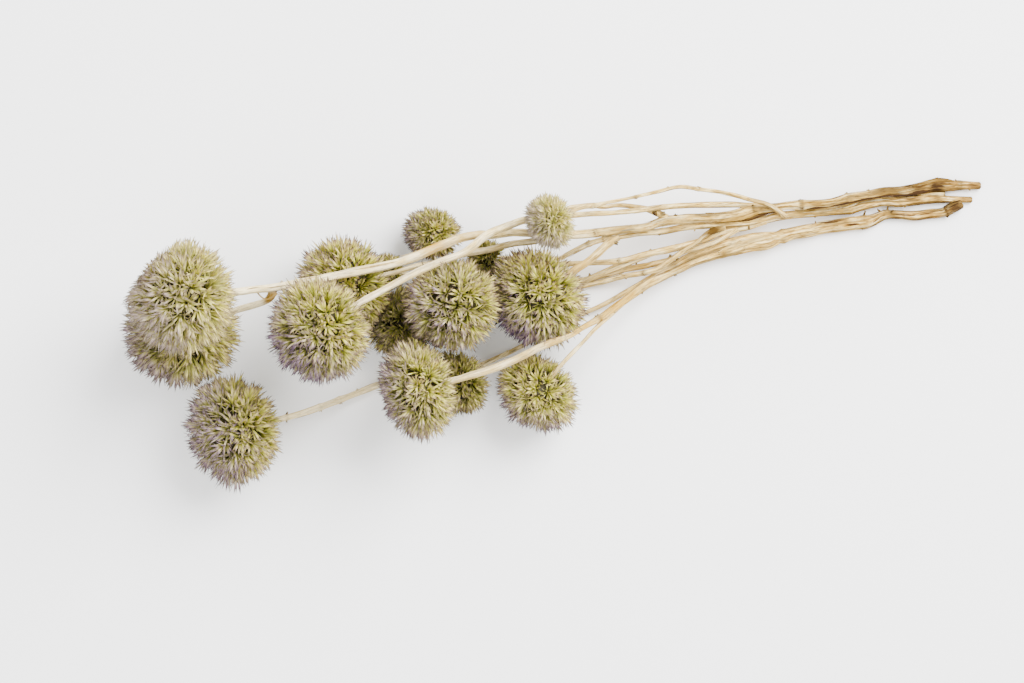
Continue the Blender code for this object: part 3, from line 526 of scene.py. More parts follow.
def smooth_course(course):
    """Rings at even steps on a cubic curve through the course's points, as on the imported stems.

    The curve's slope at a point is that of a parabola through the point and its two neighbours, and at the
    two ends it is that of the straight line to the neighbour.
    """
    steps = np.linalg.norm(np.diff(course[:, :3], axis=0), axis=1)
    reached = np.concatenate([[0.0], np.cumsum(steps)])
    slope = np.gradient(course, reached, axis=0, edge_order=1)
    at = np.linspace(0.0, reached[-1], max(2, math.ceil(reached[-1] / RING_STEP)) + 1)
    left = np.clip(np.searchsorted(reached, at, side="right") - 1, 0, len(steps) - 1)
    step = steps[left][:, None]
    t = ((at - reached[left]) / steps[left])[:, None]
    start, end = course[left], course[left + 1]
    start_slope, end_slope = step * slope[left], step * slope[left + 1]
    place = (
        (2 * t**3 - 3 * t**2 + 1) * start
        + (t**3 - 2 * t**2 + t) * start_slope
        + (3 * t**2 - 2 * t**3) * end
        + (t**3 - t**2) * end_slope
    )
    along = unit(np.gradient(place[:, :3], axis=0))
    side = unit(np.cross([0.0, 0.0, 1.0], along))
    up = np.cross(along, side)
    return Rings(place[:, :3], place[:, 3], along, side, up, at, place[:, 4])


def branch_rings(branch, balls):
    """The rings of a branch, in real places, with its tip at its head's seat."""
    course = [[*placed(x, y, z), true_size(thick, z), x] for x, y, z, thick in branch.course]
    if branch.head:
        course.append([*balls[branch.head].stem_tip(), course[-1][3], HEADS[branch.head].x])
    return smooth_course(np.array(course))


def grid_triangles(rows, columns):
    """Two triangles for each cell of a grid that closes on itself across its columns."""
    row, column = np.meshgrid(np.arange(rows - 1), np.arange(columns), indexing="ij")
    a = (row * columns + column).ravel()
    b = (row * columns + (column + 1) % columns).ravel()
    return np.concatenate([np.stack([a, b, b + columns], 1), np.stack([a, b + columns, a + columns], 1)])


def tube_triangles(rows, sides):
    """The triangles of a tube of rings, closed by a fan to one more corner at its first and its last ring."""
    a = np.arange(sides)
    b = (a + 1) % sides
    end = (rows - 1) * sides
    return np.concatenate([
        grid_triangles(rows, sides),
        np.stack([b, a, np.full(sides, rows * sides)], 1),
        np.stack([end + a, end + b, np.full(sides, rows * sides + 1)], 1),
    ])


def repeated(triangles, corners_each, count):
    """The triangles of many like pieces whose corners follow each other in one list."""
    return (triangles[None] + corners_each * np.arange(count)[:, None, None]).reshape(-1, 3)


def join_surfaces(surfaces):
    """Several surfaces as one, each one's triangles counted on from the last."""
    first = np.cumsum([0] + [len(surface.corners) for surface in surfaces[:-1]])
    return Surface(
        np.concatenate([surface.corners for surface in surfaces]),
        np.concatenate([surface.triangles + start for surface, start in zip(surfaces, first)]),
        np.concatenate([surface.look for surface in surfaces]),
        np.concatenate([surface.grain for surface in surfaces]),
    )


def new_piece(name, surface, sharp_angle):
    """A mesh object from a surface in millimetres, with its look and grain as attributes of its points."""
    mesh = bpy.data.meshes.new(name)
    mesh.vertices.add(len(surface.corners))
    mesh.vertices.foreach_set("co", (surface.corners * MM).astype(np.float32).ravel())
    mesh.loops.add(surface.triangles.size)
    mesh.loops.foreach_set("vertex_index", surface.triangles.astype(np.int32).ravel())
    mesh.polygons.add(len(surface.triangles))
    mesh.polygons.foreach_set("loop_start", np.arange(0, surface.triangles.size, 3, dtype=np.int32))
    mesh.update(calc_edges=True)
    look = mesh.attributes.new("look", "FLOAT_COLOR", "POINT")
    look.data.foreach_set("color", surface.look.astype(np.float32).ravel())
    grain = mesh.attributes.new("grain", "FLOAT_VECTOR", "POINT")
    grain.data.foreach_set("vector", surface.grain.astype(np.float32).ravel())
    mesh.shade_smooth()
    mesh.set_sharp_from_angle(angle=math.radians(sharp_angle))
    return in_scene(name, mesh)


def in_scene(name, data):
    """A new object in the scene, made of a mesh, a light or a camera."""
    made = bpy.data.objects.new(name, data)
    bpy.context.scene.collection.objects.link(made)
    return made


# Stems.

def bark_age(seen_x):
    """How old the bark looks, from 0 at the pale upper twigs to about two thirds at the brown cut ends."""
    return np.interp(seen_x, [-240.0, -100.0, 0.0, 60.0, 120.0, 200.0, 260.0, 300.0],
                     [0.00, 0.08, 0.20, 0.36, 0.45, 0.52, 0.64, 0.66])


def bark_look(number, seen_x):
    """Age, brown, orange, and wear with painted shade of a branch's bark, the last as yet zero.

    Each stain, and each knot as a brown ring, adds a bell curve along X, and the largest counts.
    """
    brown = np.zeros_like(seen_x)
    orange = np.zeros_like(seen_x)
    for x, reach, stain_brown, stain_orange in STAINS.get(number, []):
        stain = bell(seen_x, x, reach)
        brown = np.maximum(brown, stain_brown * stain)
        orange = np.maximum(orange, stain_orange * stain)
    for x, _swell, length in KNOTS.get(number, []):
        brown = np.maximum(brown, KNOT_BROWN * bell(seen_x, x, length))
    return np.stack([bark_age(seen_x), brown, orange, np.zeros_like(seen_x)], axis=-1)


def bark_tube(number, rings, random):
    """A branch: rings of corners round its middle line, closed at both ends.

    A corner's distance from the middle line is half the thickness, times one plus lengthwise ribs (three
    cosines round the ring that drift along the branch), a slow wobble (two sines along the branch), a swell
    at each knot (a bell curve along the branch) and a flare at the root of a side branch.
    """
    trunk = number in TRUNKS
    sides = TRUNK_SIDES if trunk else BRANCH_SIDES
    angle = turns(sides)
    drift = rings.travelled[:, None] / RIB_DRIFT + random.uniform(*PHASES)
    shifts = 1.7 * np.sin(drift), -2.3 * np.sin(0.7 * drift + 1.0), 1.3 * drift
    ribs = sum(height * np.cos(count * angle + shift) for (count, height), shift in zip(RIBS, shifts))
    wobble = sum(
        height * np.sin(rings.travelled / length + random.uniform(*PHASES)) for length, height in WAVES
    )
    swell = np.zeros(len(rings.travelled))
    for x, height, length in KNOTS.get(number, []):
        swell += height * bell(rings.seen_x, x, length)
    if not trunk:
        swell += FLARE * np.exp(-rings.travelled / FLARE_LENGTH)
    scale = (1.0 + wobble + swell)[:, None] + ribs
    half = 0.5 * rings.thickness
    spread = turned(angle, rings.side[:, None], rings.up[:, None])
    corners = (rings.middle[:, None] + (half[:, None] * scale)[:, :, None] * spread).reshape(-1, 3)

    look = np.repeat(bark_look(number, rings.seen_x), sides, axis=0)
    # Painted shade: darker in the grooves between ribs and along both edges of the outline seen from above.
    edges = sum(edge_darkness * bell(angle, at, reach) for at, reach, edge_darkness in PAINTED_EDGE_SHADE)
    grooves = np.clip(-GROOVE_SHADE * ribs, 0.0, MOST_GROOVE_SHADE)
    shade_and_wear = np.maximum(edges, grooves) * (YOUNG_SHADE + SHADE_BY_AGE * bark_age(rings.seen_x))[:, None]
    look[:, 3] = np.clip(shade_and_wear, 0.0, 1.0).ravel()
    grain = np.stack([
        np.outer(half, np.cos(angle)).ravel(), np.outer(half, np.sin(angle)).ravel(),
        np.repeat(rings.travelled, sides),
    ], axis=1)

    # The ends: a rounded cut end at the trunk's start, and at the last ring a hollow that a head covers.
    first, last = rings.middle[0], rings.middle[-1]
    start_ring = first + END_SHARE * (corners[:sides] - first)
    start_middle = first
    if trunk:
        start_ring = start_ring - random.uniform(*JAGGED, sides)[:, None] * rings.along[0]
        start_middle = first - CUT_MIDDLE * rings.along[0]
    end_ring = last + END_SHARE * (corners[-sides:] - last) - HOLLOW_RING * rings.along[-1]
    end_middle = last - HOLLOW_MIDDLE * rings.along[-1]
    corners = np.concatenate([start_ring, corners, end_ring, [start_middle], [end_middle]])
    corners[:, 2] = np.maximum(corners[:, 2], 0.0)
    look = np.concatenate([look[:sides], look, look[-sides:], look[:1], look[-1:]])
    grain = np.concatenate([grain[:sides], grain, grain[-sides:], grain[:1], grain[-1:]])
    return Surface(corners, tube_triangles(len(rings.travelled) + 2, sides), look, grain)


def spur_surface(spur, rings):
    """A broken twig or a scar: a short cone with a ragged end that stands out of a branch's bark.

    It goes from inside the branch along its way, which rises steeply where it points along the branch. Its
    rings narrow from its root to its end, and cosines round them make them uneven.
    """
    at = np.argmin(np.abs(rings.seen_x - spur.x))
    way = math.radians(spur.way)
    flat = np.array([math.cos(way), math.sin(way), 0.0])
    rise = STEEP_RISE if abs(flat @ rings.along[at]) > NEARLY_ALONG else SPUR_RISE
    heading = unit(flat + np.array([0.0, 0.0, rise]))
    first = unit(np.cross(heading, rings.along[at]))
    second = np.cross(heading, first)
    angle = turns(SPUR_SIDES)
    ragged = 1.0 + 0.16 * np.cos(2.0 * angle + spur.x) + 0.12 * np.cos(3.0 * angle + 2.0 * spur.x)
    spread = turned(angle, first, second)
    bark = 0.5 * rings.thickness[at]
    out = bark * SPUR_RINGS[:, 0] + spur.length * SPUR_RINGS[:, 1]
    radius = 0.5 * spur.thickness * SPUR_RINGS[:, 2]
    rows = rings.middle[at] + out[:, None, None] * heading + (radius[:, None] * ragged)[:, :, None] * spread
    rows[-1] += 0.25 * spur.thickness * np.cos(2.0 * angle + 3.0 * spur.x)[:, None] * heading
    ends = rings.middle[at] + np.array([[0.2 * bark], [out[-1] - 0.1 * spur.thickness]]) * heading
    corners = np.concatenate([rows.reshape(-1, 3), ends])
    corners[:, 2] = np.maximum(corners[:, 2], 0.0)
    look = np.tile([bark_age(spur.x), spur.brown, 0.0, SPUR_WEAR], (len(corners), 1))
    look[:2 * SPUR_SIDES, 1] = 0.5 * spur.brown
    grain = (corners - rings.middle[at]) @ np.stack([first, second, heading], axis=1)
    return Surface(corners, tube_triangles(len(SPUR_RINGS), SPUR_SIDES), look, grain)


def strip_surface(strip):
    """A loose strip of bark: flat, closed rings of corners along its line."""
    line = np.array([[*placed(x, y, z), true_size(half_width, z), x] for x, y, z, half_width in strip.line])
    rings = smooth_course(line)
    angle = turns(STRIP_SIDES)
    across = np.outer(rings.thickness, np.cos(angle))
    upward = np.outer(STRIP_DEPTH * rings.thickness, np.sin(angle))
    corners = (
        rings.middle[:, None]
        + across[:, :, None] * rings.side[:, None]
        + upward[:, :, None] * rings.up[:, None]
    ).reshape(-1, 3)
    corners = np.concatenate([corners, rings.middle[:1], rings.middle[-1:]])
    look = np.tile([strip.age, strip.brown, strip.orange, STRIP_WEAR], (len(corners), 1))
    along = np.append(np.repeat(rings.travelled, STRIP_SIDES), [0.0, rings.travelled[-1]])
    grain = np.stack([np.append(across, [0.0, 0.0]), np.append(upward, [0.0, 0.0]), along], axis=1)
    return Surface(corners, tube_triangles(len(rings.travelled), STRIP_SIDES), look, grain)


def sliver_surface(number, rings, step, random):
    """Thin slivers of bark that lie along a branch, each a closed strip of four-cornered rings.

    A sliver turns a little round the branch. It lies on the bark and lifts at one end as the cube of the
    way along. Its width goes with the sine of the way along from one end to the other, to the power 0.7.
    """
    full = rings.travelled[-1]
    count = max(1, int(full / step))
    length = random.uniform(*SLIVER_LENGTHS, count)
    start = random.uniform(0.0, 1.0, count) * np.maximum(full - length, 0.1)
    t = np.linspace(0.0, 1.0, SLIVER_ROWS)
    along = start[:, None] + length[:, None] * t
    angle = random.uniform(*SLIVER_ANGLES, count)[:, None] + random.normal(0.0, 0.25, count)[:, None] * t

    def read(values):
        """Values of the branch at the slivers' rows."""
        columns = values.reshape(len(rings.travelled), -1).T
        return np.stack([np.interp(along, rings.travelled, column) for column in columns], axis=-1)

    side, up, middle = read(rings.side), read(rings.up), read(rings.middle)
    radius = 0.5 * read(rings.thickness)[:, :, 0]
    lift = random.uniform(*SLIVER_LIFTS, count)[:, None] * t**3
    out = turned(angle, side, up)
    across = turned(angle, up, -side)
    line = middle + (1.02 * radius + lift)[:, :, None] * out
    widest = random.uniform(*SLIVER_WIDTHS, count)[:, None] * radius.mean(axis=1, keepdims=True) * 2.0
    width = (widest * np.sin(math.pi * t) ** 0.7)[:, :, None]
    rows = np.stack([
        line + width * across, line + 0.45 * width * out, line - width * across, line - 0.6 * width * out,
    ], axis=2)
    corners = np.concatenate([rows.reshape(count, -1, 3), line[:, [0, -1]]], axis=1)
    triangles = repeated(tube_triangles(SLIVER_ROWS, 4), corners.shape[1], count)
    own = random.uniform(*SLIVER_LOOKS, (count, 4))
    look = np.clip(read(bark_look(number, rings.seen_x)) + own[:, None], 0.0, 1.0)
    look = np.concatenate([np.repeat(look, 4, axis=1), look[:, [0, -1]]], axis=1)
    grain = np.stack([radius * np.cos(angle), radius * np.sin(angle), along], axis=-1)
    grain = grain + random.uniform(0.0, 50.0)
    grain = np.concatenate([np.repeat(grain, 4, axis=1), grain[:, [0, -1]]], axis=1)
    corners = corners.reshape(-1, 3)
    corners[:, 2] = np.maximum(corners[:, 2], SLIVER_FLOOR)
    return Surface(corners, triangles, look.reshape(-1, 4), grain.reshape(-1, 3))


# Heads.

def tuft_directions(count, seat_angle, random):
    """Directions spread evenly over a ball by a golden-angle spiral, from outside the seat at +Z to -Z."""
    number = np.arange(count) + 0.5
    top = math.cos(0.75 * seat_angle)
    height = np.clip(top - (top + 1.0) * number / count + random.normal(0.0, 0.25 / count, count), -1.0, 1.0)
    turn = golden_turns(number) + random.normal(0.0, 0.06, count)
    radius = np.sqrt(1.0 - height**2)
    return np.stack([radius * np.cos(turn), radius * np.sin(turn), height], axis=1)


def turned_to(axis):
    """A turn that takes +Z to the axis, as a matrix of columns."""
    helper = np.array([0.0, 1.0, 0.0]) if abs(axis[1]) < 0.9 else np.array([1.0, 0.0, 0.0])
    first = unit(np.cross(helper, axis))
    return np.stack([first, np.cross(axis, first), axis], axis=1)


def blades(root, outward, sideways, first_lean, last_lean, length, half_width, sway, twist, steps, own):
    """Closed, three-sided blades that curve out from their roots and taper to a point.

    A blade's middle line leans from outward towards sideways by an angle that grows evenly from first to
    last, and each step adds its length along that direction, plus a sway to the third side that grows as
    the square of the way along. Round the line stand two edges and a keel, turned by the twist. The width
    swells from the root to a quarter of the way and shrinks to nothing over the last quarter. A point's
    look is how far along it is, then the blade's own three values.
    """
    count = len(root)
    t = np.linspace(0.0, 1.0, steps + 1)
    lean = first_lean[:, None] + (last_lean - first_lean)[:, None] * t
    third = np.cross(outward, sideways)
    heading = turned(lean, outward[:, None], sideways[:, None])
    middle_heading = unit(0.5 * (heading[:, 1:] + heading[:, :-1]))
    path = np.cumsum(middle_heading, axis=1) * (length / steps)[:, None, None]
    path = np.concatenate([np.zeros((count, 1, 3)), path], axis=1) + root[:, None]
    path += (sway * length)[:, None, None] * (t**2)[None, :, None] * third[:, None]
    under = np.cross(third[:, None], heading)

    width = (half_width[:, None] * np.interp(t, BLADE_PLACES, BLADE_WIDTHS))[:, :, None]
    turn = twist[:, None] * t
    edge = turned(turn, third[:, None], under)
    keel = turned(turn, under, -third[:, None])
    ring = np.stack([path + width * edge, path + KEEL * width * keel, path - width * edge], axis=2)[:, :-1]
    corners = np.concatenate([ring.reshape(count, -1, 3), path[:, -1:]], axis=1)

    tip = 3 * steps
    top = tip - 3
    cap = np.array([[top, top + 1, tip], [top + 1, top + 2, tip], [top + 2, top, tip], [0, 2, 1]])
    triangles = repeated(np.concatenate([grid_triangles(steps, 3), cap]), tip + 1, count)

    reached = np.append(np.repeat(t[:-1], 3), 1.0)
    look = np.concatenate([
        np.broadcast_to(reached[None, :, None], (count, tip + 1, 1)),
        np.broadcast_to(own[:, None], (count, tip + 1, 3)),
    ], axis=2)
    return Surface(corners.reshape(-1, 3), triangles, look.reshape(-1, 4), np.zeros((count * (tip + 1), 3)))


def core_surface(ball, size, shade):
    """The middle of a head, darkened with painted shade: a closed ball of a grid of corners between two poles.
    """
    down = np.linspace(0.0, math.pi, CORE_ROWS + 2)[1:-1, None]
    turn = turns(CORE_COLUMNS)
    grid = np.stack([
        np.sin(down) * np.cos(turn), np.sin(down) * np.sin(turn), np.cos(down) * np.ones(CORE_COLUMNS),
    ], 2)
    poles = np.array([[0.0, 0.0, 1.0], [0.0, 0.0, -1.0]])
    directions = np.concatenate([grid.reshape(-1, 3), poles]) @ turned_to(ball.axis).T
    corners = ball.middle + size * directions @ ball.form
    triangles = tube_triangles(CORE_ROWS, CORE_COLUMNS)[:, ::-1]
    # Painted shade: the core is at least this dark, so that it reads as shadowed hollows.
    look = np.tile([0.0, 0.0, max(shade, LEAST_CORE_PAINTED_SHADE), CORE_MAUVE], (len(corners), 1))
    return Surface(corners, triangles, look, np.zeros((len(corners), 3)))


def tuft_blades(ball, head, make, per_tuft, slim, random):
    """The bracts of a head's tufts, or, if slim, the bristles between them.

    The bracts of a tuft turn round its middle by the golden angle. Each next one is rooted lower, leans
    farther out, and its root lies farther from the tuft's middle, so that the tuft opens like a star.
    """
    directions = tuft_directions(head.tufts, ball.seat_angle, random) @ turned_to(ball.axis).T
    outward = unit(directions @ ball.form) - STEM_BIAS * ball.axis
    outward = unit(outward + random.normal(0.0, 0.09, directions.shape))
    helper = unit(np.cross(outward, unit(random.normal(size=outward.shape))))
    count = head.tufts * per_tuft
    number = np.tile(np.arange(per_tuft), head.tufts)
    rank = (number + random.uniform(-0.4, 0.4, count)) / per_tuft
    tuft = np.repeat(np.arange(head.tufts), per_tuft)
    turn = golden_turns(number) + random.normal(0.0, 0.22, count)
    out = outward[tuft]
    across = helper[tuft]
    sideways = turned(turn, across, np.cross(out, across))
    reach = ball.reach_towards(directions)[tuft]

    if slim:
        root_share = make.root + random.uniform(-0.04, 0.02, count)
        first_lean = np.radians(random.uniform(25.0, 65.0, count))
        last_lean = first_lean - np.radians(random.uniform(0.0, 30.0, count))
        length = reach * make.length * random.uniform(0.45, 0.85, count)
        half_width = ball.size * random.uniform(0.009, 0.014, count)
        spread = ball.size * BRISTLE_SPREAD
    else:
        root_share = make.root - 0.07 * rank
        first_lean = np.radians(4.0 + 34.0 * rank + random.normal(0.0, 4.0, count))
        last_lean = first_lean + np.radians(6.0 + 20.0 * rank + random.normal(0.0, 10.0, count))
        length = reach * make.length * random.uniform(0.78, 1.10, count)
        length = length * random.normal(1.0, 0.06, head.tufts)[tuft]
        half_width = ball.size * make.half_width * random.uniform(0.75, 1.15, count)
        spread = ball.size * (0.008 + 0.022 * rank[:, None])
    root = ball.middle + root_share[:, None] * (directions @ ball.form)[tuft] + spread * sideways
    tone = np.clip(random.normal(0.5, 0.22, count) + random.normal(0.0, 0.14, head.tufts)[tuft], 0.0, 1.0)
    # Mauve: more on the side away from the stem, and less on the side that looks to +Y.
    far_side = -directions @ ball.axis
    mauve = head.mauve * (0.38 + 1.20 * far_side - 0.25 * directions[:, 1])
    mauve = (mauve + random.normal(0.0, 0.12, head.tufts))[tuft]
    mauve = np.clip(mauve + random.normal(0.0, 0.16, count), 0.0, 1.0)
    sway = random.normal(0.0, 0.09, count)
    twist = random.normal(0.0, 0.5, count)
    if slim:
        tone = tone - 0.10
        mauve = np.clip(mauve + 0.6, 0.0, 1.0)
    own = np.stack([tone, np.full(count, head.shade), mauve], axis=1)
    steps = BRISTLE_STEPS if slim else BRACT_STEPS
    return blades(root, out, sideways, first_lean, last_lean, length, half_width, sway, twist, steps, own)


def pressed_behind(corners, middle, way, room, share):
    """Corners with what lies farther from a middle than the room on this way moved back by a share of that."""
    past = np.maximum((corners - middle) @ way - room, 0.0)
    return corners - share * past[:, None] * way


def press_back(corners, ball, others, stems, pressed):
    """Corners moved off the stems, the neighbouring heads and the surface that they would run into.

    Past the plane between two heads, a corner goes most of the way back to the plane along the line between
    their middles, and the firmer head has the greater share of the room. Past the plane on a side that was
    pressed flat, it goes a part of the way back. Near a stem's middle line, it goes straight away from the
    line until it is clear of the bark.
    """
    for other in others:
        between = other.middle - ball.middle
        distance = np.linalg.norm(between)
        between = between / distance
        mine, theirs = ball.reach_towards(between), other.reach_towards(between)
        if distance > mine + theirs + NEIGHBOUR_ROOM:
            continue
        room = distance * mine * ball.firm / (mine * ball.firm + theirs * other.firm) - HEAD_ROOM
        corners = pressed_behind(corners, ball.middle, between, room, NEIGHBOUR_PRESS)
    if pressed:
        way, share = pressed
        side = np.array([math.cos(math.radians(way)), math.sin(math.radians(way)), 0.0])
        corners = pressed_behind(corners, ball.middle, side, share * ball.reach_towards(side), SIDE_PRESS)
    middle, radius = stems
    near = np.linalg.norm(middle - ball.middle, axis=1) < FARTHEST_TIP * ball.size + STEM_REACH
    for point, clear in zip(middle[near], radius[near] + STEM_ROOM):
        away = corners - point
        apart = np.linalg.norm(away, axis=1)
        inside = apart < clear
        if inside.any():
            corners[inside] = point + away[inside] / apart[inside][:, None] * clear
    corners[:, 2] = np.maximum(corners[:, 2], FLOOR_ROOM)
    return corners


def head_surface(name, ball, others, stems, random):
    """A head: its core, darkened with painted shade, the slim bristles on it and the bracts of its tufts."""
    head = HEADS[name]
    make = MAKES[head.points]
    surface = join_surfaces([
        core_surface(ball, make.core, head.shade),
        tuft_blades(ball, head, make, BRISTLES, True, random),
        tuft_blades(ball, head, make, make.bracts, False, random),
    ])
    return surface._replace(corners=press_back(surface.corners, ball, others, stems, PRESSED.get(name)))


# Finishes.

class Finish:
    """A Principled material whose colour, roughness and relief come from nodes."""

    def __init__(self, name):
        self.material = bpy.data.materials.new(name)
        self.material.use_nodes = True
        self.tree = self.material.node_tree
        self.shader = self.tree.nodes["Principled BSDF"]

    def node(self, kind, **settings):
        """A node with its settings."""
        made = self.tree.nodes.new(kind)
        for key, value in settings.items():
            setattr(made, key, value)
        return made

    def link(self, output, socket):
        """Joins an output to an input."""
        self.tree.links.new(output, socket)

    def attribute(self, name):
        """A point attribute's node."""
        return self.node("ShaderNodeAttribute", attribute_name=name)

    def look(self):
        """The four values of the points' look."""
        look = self.attribute("look")
        split = self.node("ShaderNodeSeparateColor")
        self.link(look.outputs["Color"], split.inputs[0])
        return *split.outputs, look.outputs["Alpha"]

    def math(self, operation, first, second):
        """A sum, product or the like of two values, each an output or a number."""
        made = self.node("ShaderNodeMath", operation=operation)
        for socket, value in zip(made.inputs, (first, second)):
            if isinstance(value, (int, float)):
                socket.default_value = value
            else:
                self.link(value, socket)
        return made.outputs[0]

    def line(self, value, factor, offset):
        """A value times a factor, plus an offset."""
        return self.math("ADD", self.math("MULTIPLY", value, factor), offset)

    def ramp(self, factor, stops):
        """A colour read off a row of stops, each a place from 0 to 1 and a colour's code."""
        made = self.node("ShaderNodeValToRGB")
        elements = made.color_ramp.elements
        while len(elements) < len(stops):
            elements.new(0.5)
        for element, (place, colour) in zip(elements, stops):
            element.position = place
            element.color = linear(colour)
        self.link(factor, made.inputs[0])
        return made.outputs[0]

    def mix(self, factor, first, second, blend="MIX"):
        """Two colours mixed by a factor. Each is an output or a colour's code."""
        made = self.node("ShaderNodeMix", data_type="RGBA", blend_type=blend)
        for socket, value in zip((made.inputs[0], made.inputs[6], made.inputs[7]), (factor, first, second)):
            if isinstance(value, (int, float)):
                socket.default_value = value
            elif isinstance(value, str):
                socket.default_value = linear(value)
            else:
                self.link(value, socket)
        return made.outputs[2]

    def noise(self, vector, scale, detail=3.0):
        """A noise texture's value."""
        made = self.node("ShaderNodeTexNoise")
        made.inputs["Scale"].default_value = scale
        made.inputs["Detail"].default_value = detail
        self.link(vector, made.inputs["Vector"])
        return made.outputs[0]

    def stretched(self, vector, scale):
        """A vector multiplied along X, Y and Z."""
        made = self.node("ShaderNodeMapping")
        made.inputs["Scale"].default_value = scale
        self.link(vector, made.inputs["Vector"])
        return made.outputs[0]

    def bump(self, height, strength, distance):
        """Relief from a height."""
        made = self.node("ShaderNodeBump")
        made.inputs["Strength"].default_value = strength
        made.inputs["Distance"].default_value = distance
        self.link(height, made.inputs["Height"])
        self.link(made.outputs[0], self.shader.inputs["Normal"])

    def done(self, colour, roughness, specular):
        """The material, with its colour, its roughness and how strong its highlights are."""
        self.link(colour, self.shader.inputs["Base Color"])
        self.shader.inputs["Roughness"].default_value = roughness
        self.shader.inputs["Specular IOR Level"].default_value = specular
        return self.material


def bract_finish():
    """Dried bracts: green at the root, straw and cream or mauve at the tip, by the points' look.

    Look holds how far out a point is, its bract's tone, the head's shade (partly painted shade and light) and
    the bract's mauve.
    """
    finish = Finish("dried_bracts")
    reached, tone, shade, mauve = finish.look()
    place = finish.node("ShaderNodeTexCoord").outputs["Object"]
    speckle = finish.noise(place, 900.0, 2.0)
    along = finish.math("ADD", reached, finish.math("MULTIPLY", finish.math("SUBTRACT", tone, 0.5), 0.30))
    green = finish.ramp(along, [
        (0.00, "#54441A"), (0.12, "#90922A"), (0.32, "#BEC042"), (0.54, "#E2DC5C"), (0.72, "#F0DE80"),
        (0.84, "#B29A74"), (0.93, "#6A5646"), (1.00, "#3C2E2A"),
    ])
    purple = finish.ramp(along, [
        (0.00, "#4E3C20"), (0.12, "#848836"), (0.32, "#B2B050"), (0.50, "#D0C67E"), (0.64, "#CCB6AA"),
        (0.77, "#8A7088"), (0.88, "#4A364C"), (1.00, "#2A1E2C"),
    ])
    colour = finish.mix(mauve, green, purple)
    lit = finish.math("ADD", finish.math("MULTIPLY", tone, 0.7), finish.math("MULTIPLY", speckle, 0.3))
    light = finish.ramp(lit, [(0.00, "#6A6A6A"), (0.30, "#AEAEAE"), (0.55, "#E6E6E6"), (1.00, "#FFFFFF")])
    colour = finish.mix(1.0, colour, light, "MULTIPLY")
    # Painted shade and light, head by head: the head's shade mixes towards dark olive, and below 0 towards
    # pale yellow. It is partly also the head's own colour.
    colour = finish.mix(shade, colour, "#34340E")
    colour = finish.mix(finish.math("MULTIPLY", shade, -1.0), colour, "#F6EA9C")
    finish.bump(speckle, 0.25, 0.0003)
    return finish.done(colour, 0.62, 0.2)


def bark_finish():
    """Dry bark: cream to brown by age, streaked lengthwise, with wear, painted shade and stains by the points'
    look.

    Look holds the age, how brown and how orange the stains are, and the wear with painted shade.
    """
    finish = Finish("dry_bark")
    age, brown, orange, shade_and_wear = finish.look()
    grain = finish.attribute("grain").outputs["Vector"]
    streaks = finish.noise(finish.stretched(grain, (0.75, 0.75, 0.050)), 1.0, 5.0)
    patches = finish.noise(finish.stretched(grain, (0.30, 0.30, 0.08)), 1.0, 3.0)
    fine = finish.noise(finish.stretched(grain, (1.5, 1.5, 0.22)), 1.0, 4.0)
    patched = finish.math("ADD", age, finish.math("MULTIPLY", finish.math("SUBTRACT", patches, 0.5), 0.9))
    colour = finish.ramp(patched, [
        (0.00, "#FAEABC"), (0.25, "#EED48E"), (0.50, "#DCBA68"), (0.72, "#BC984E"), (0.88, "#785624"),
        (1.00, "#46300E"),
    ])
    # Pale fibres where the streaks are high, partly a painted highlight on the bark.
    colour = finish.mix(finish.ramp(streaks, [(0.54, "#000000"), (0.68, "#B0B0B0")]), colour, "#FFF0C8")
    streaked = finish.ramp(streaks, [
        (0.36, "#3A2C1A"), (0.44, "#9A8462"), (0.52, "#ECE0C8"), (0.60, "#FFFFFF"),
    ])
    colour = finish.mix(finish.line(age, 0.85, 0.24), colour, streaked, "MULTIPLY")
    cracked = finish.ramp(fine, [(0.36, "#34281A"), (0.43, "#AA967A"), (0.49, "#FFFFFF")])
    colour = finish.mix(finish.line(age, 0.55, 0.30), colour, cracked, "MULTIPLY")
    # Wear with painted shade, stains and golden patches, each broken up by the grain.
    for amount, pattern, tint in (
        (shade_and_wear, finish.line(fine, 2.6, -0.45), "#463828"),
        (brown, finish.line(streaks, 2.4, -0.20), "#2E1C08"),
        (orange, finish.line(streaks, 2.6, -0.55), "#B08410"),
    ):
        colour = finish.mix(finish.math("MULTIPLY", amount, pattern), colour, tint)
    finish.bump(finish.math("ADD", fine, streaks), 0.7, 0.0008)
    return finish.done(colour, 0.75, 0.1)


def floor_finish():
    """A plain, pale, matt surface."""
    finish = Finish("pale_surface")
    place = finish.node("ShaderNodeTexCoord").outputs["Object"]
    colour = finish.ramp(finish.noise(place, 3.0), [(0.0, "#F7F7F7"), (1.0, "#FBFBFB")])
    return finish.done(colour, 0.9, 0.1)


# The bunch.

last_points = {branch.head: branch.course[-1] for branch in BRANCHES if branch.head}
balls = {name: Ball(head, placed(*last_points[name][:3])) for name, head in HEADS.items()}
courses = [branch_rings(branch, balls) for branch in BRANCHES]
stem_lines = (
    np.concatenate([rings.middle for rings in courses]),
    np.concatenate([0.5 * rings.thickness for rings in courses]),
)

bracts = bract_finish()
bark = bark_finish()

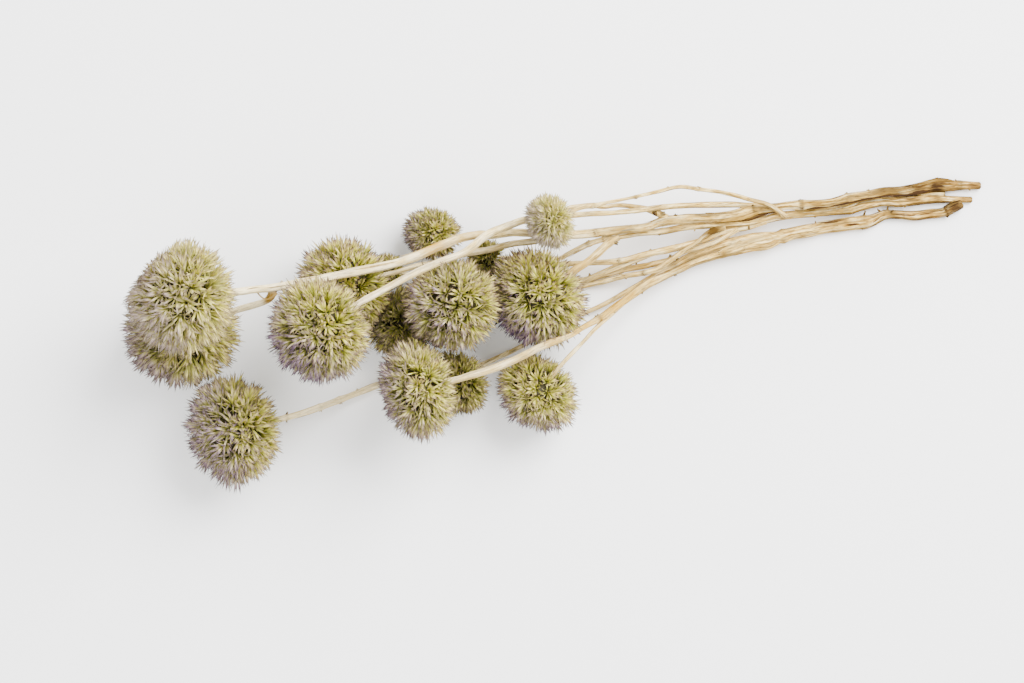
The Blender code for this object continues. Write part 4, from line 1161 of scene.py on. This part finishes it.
for node in ("stem_a", "stem_b", "stem_c"):
    random = np.random.default_rng(SEED)
    surfaces = [strip_surface(strip) for strip in STRIPS if strip.stem == node]
    for number, (branch, rings) in enumerate(zip(BRANCHES, courses)):
        if branch.stem == node:
            surfaces.append(bark_tube(number, rings, random))
            step = TRUNK_SLIVER_STEP if number in TRUNKS else BRANCH_SLIVER_STEP
            surfaces.append(sliver_surface(number, rings, step, random))
            surfaces += [spur_surface(Spur(*spur), rings) for spur in SPURS.get(number, [])]
    piece = new_piece("bark_" + node, join_surfaces(surfaces), sharp_angle=60.0)
    piece.data.materials.append(bark)
    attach(piece, "root")
    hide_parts(node)

for number, (name, ball) in enumerate(balls.items()):
    random = np.random.default_rng(SEED + number)
    others = [other for other_name, other in balls.items() if other_name != name]
    surface = head_surface(name, ball, others, stem_lines, random)
    piece = new_piece("bracts_" + name, surface, sharp_angle=50.0)
    piece.data.materials.append(bracts)
    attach(piece, "root")
    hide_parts(name)

# The surface it lies on, the lights and the camera. The lights' places and sizes are in metres.

floor_mesh = bpy.data.meshes.new("surface")
floor_mesh.from_pydata([
    (x * FLOOR_REACH, y * FLOOR_REACH, -FLOOR_DROP) for x, y in ((-1, -1), (1, -1), (1, 1), (-1, 1))
], [], [(0, 1, 2, 3)])
floor = in_scene("surface", floor_mesh)
floor.data.materials.append(floor_finish())


def soft_light(name, place, size, watts):
    """A square, white area light that looks at the origin."""
    data = bpy.data.lights.new(name, "AREA")
    data.shape = "SQUARE"
    data.size = size
    data.energy = watts
    light = in_scene(name, data)
    light.location = place
    way = -np.array(place)
    pitch = math.atan2(math.hypot(way[0], way[1]), -way[2])
    light.rotation_euler = (pitch, 0.0, math.atan2(-way[0], way[1]))


soft_light("key", (1.2, 1.2, 1.8), 1.8, 250.0)
soft_light("fill", (-1.2, -0.8, 2.0), 2.0, 45.0)

world = bpy.data.worlds.new("studio")
world.use_nodes = True
sky = world.node_tree.nodes["Background"]
sky.inputs["Color"].default_value = (1.0, 1.0, 1.0, 1.0)
sky.inputs["Strength"].default_value = WORLD_LIGHT
bpy.context.scene.world = world

camera_data = bpy.data.cameras.new("photograph")
camera_data.sensor_width = SENSOR_WIDTH
camera_data.sensor_fit = "HORIZONTAL"
camera_data.lens = SENSOR_WIDTH * EYE_HEIGHT / VIEW_WIDTH
camera = in_scene("photograph", camera_data)
camera.location = (*(EYE_AXIS - MIDDLE) * MM, EYE_HEIGHT * MM)
bpy.context.scene.camera = camera
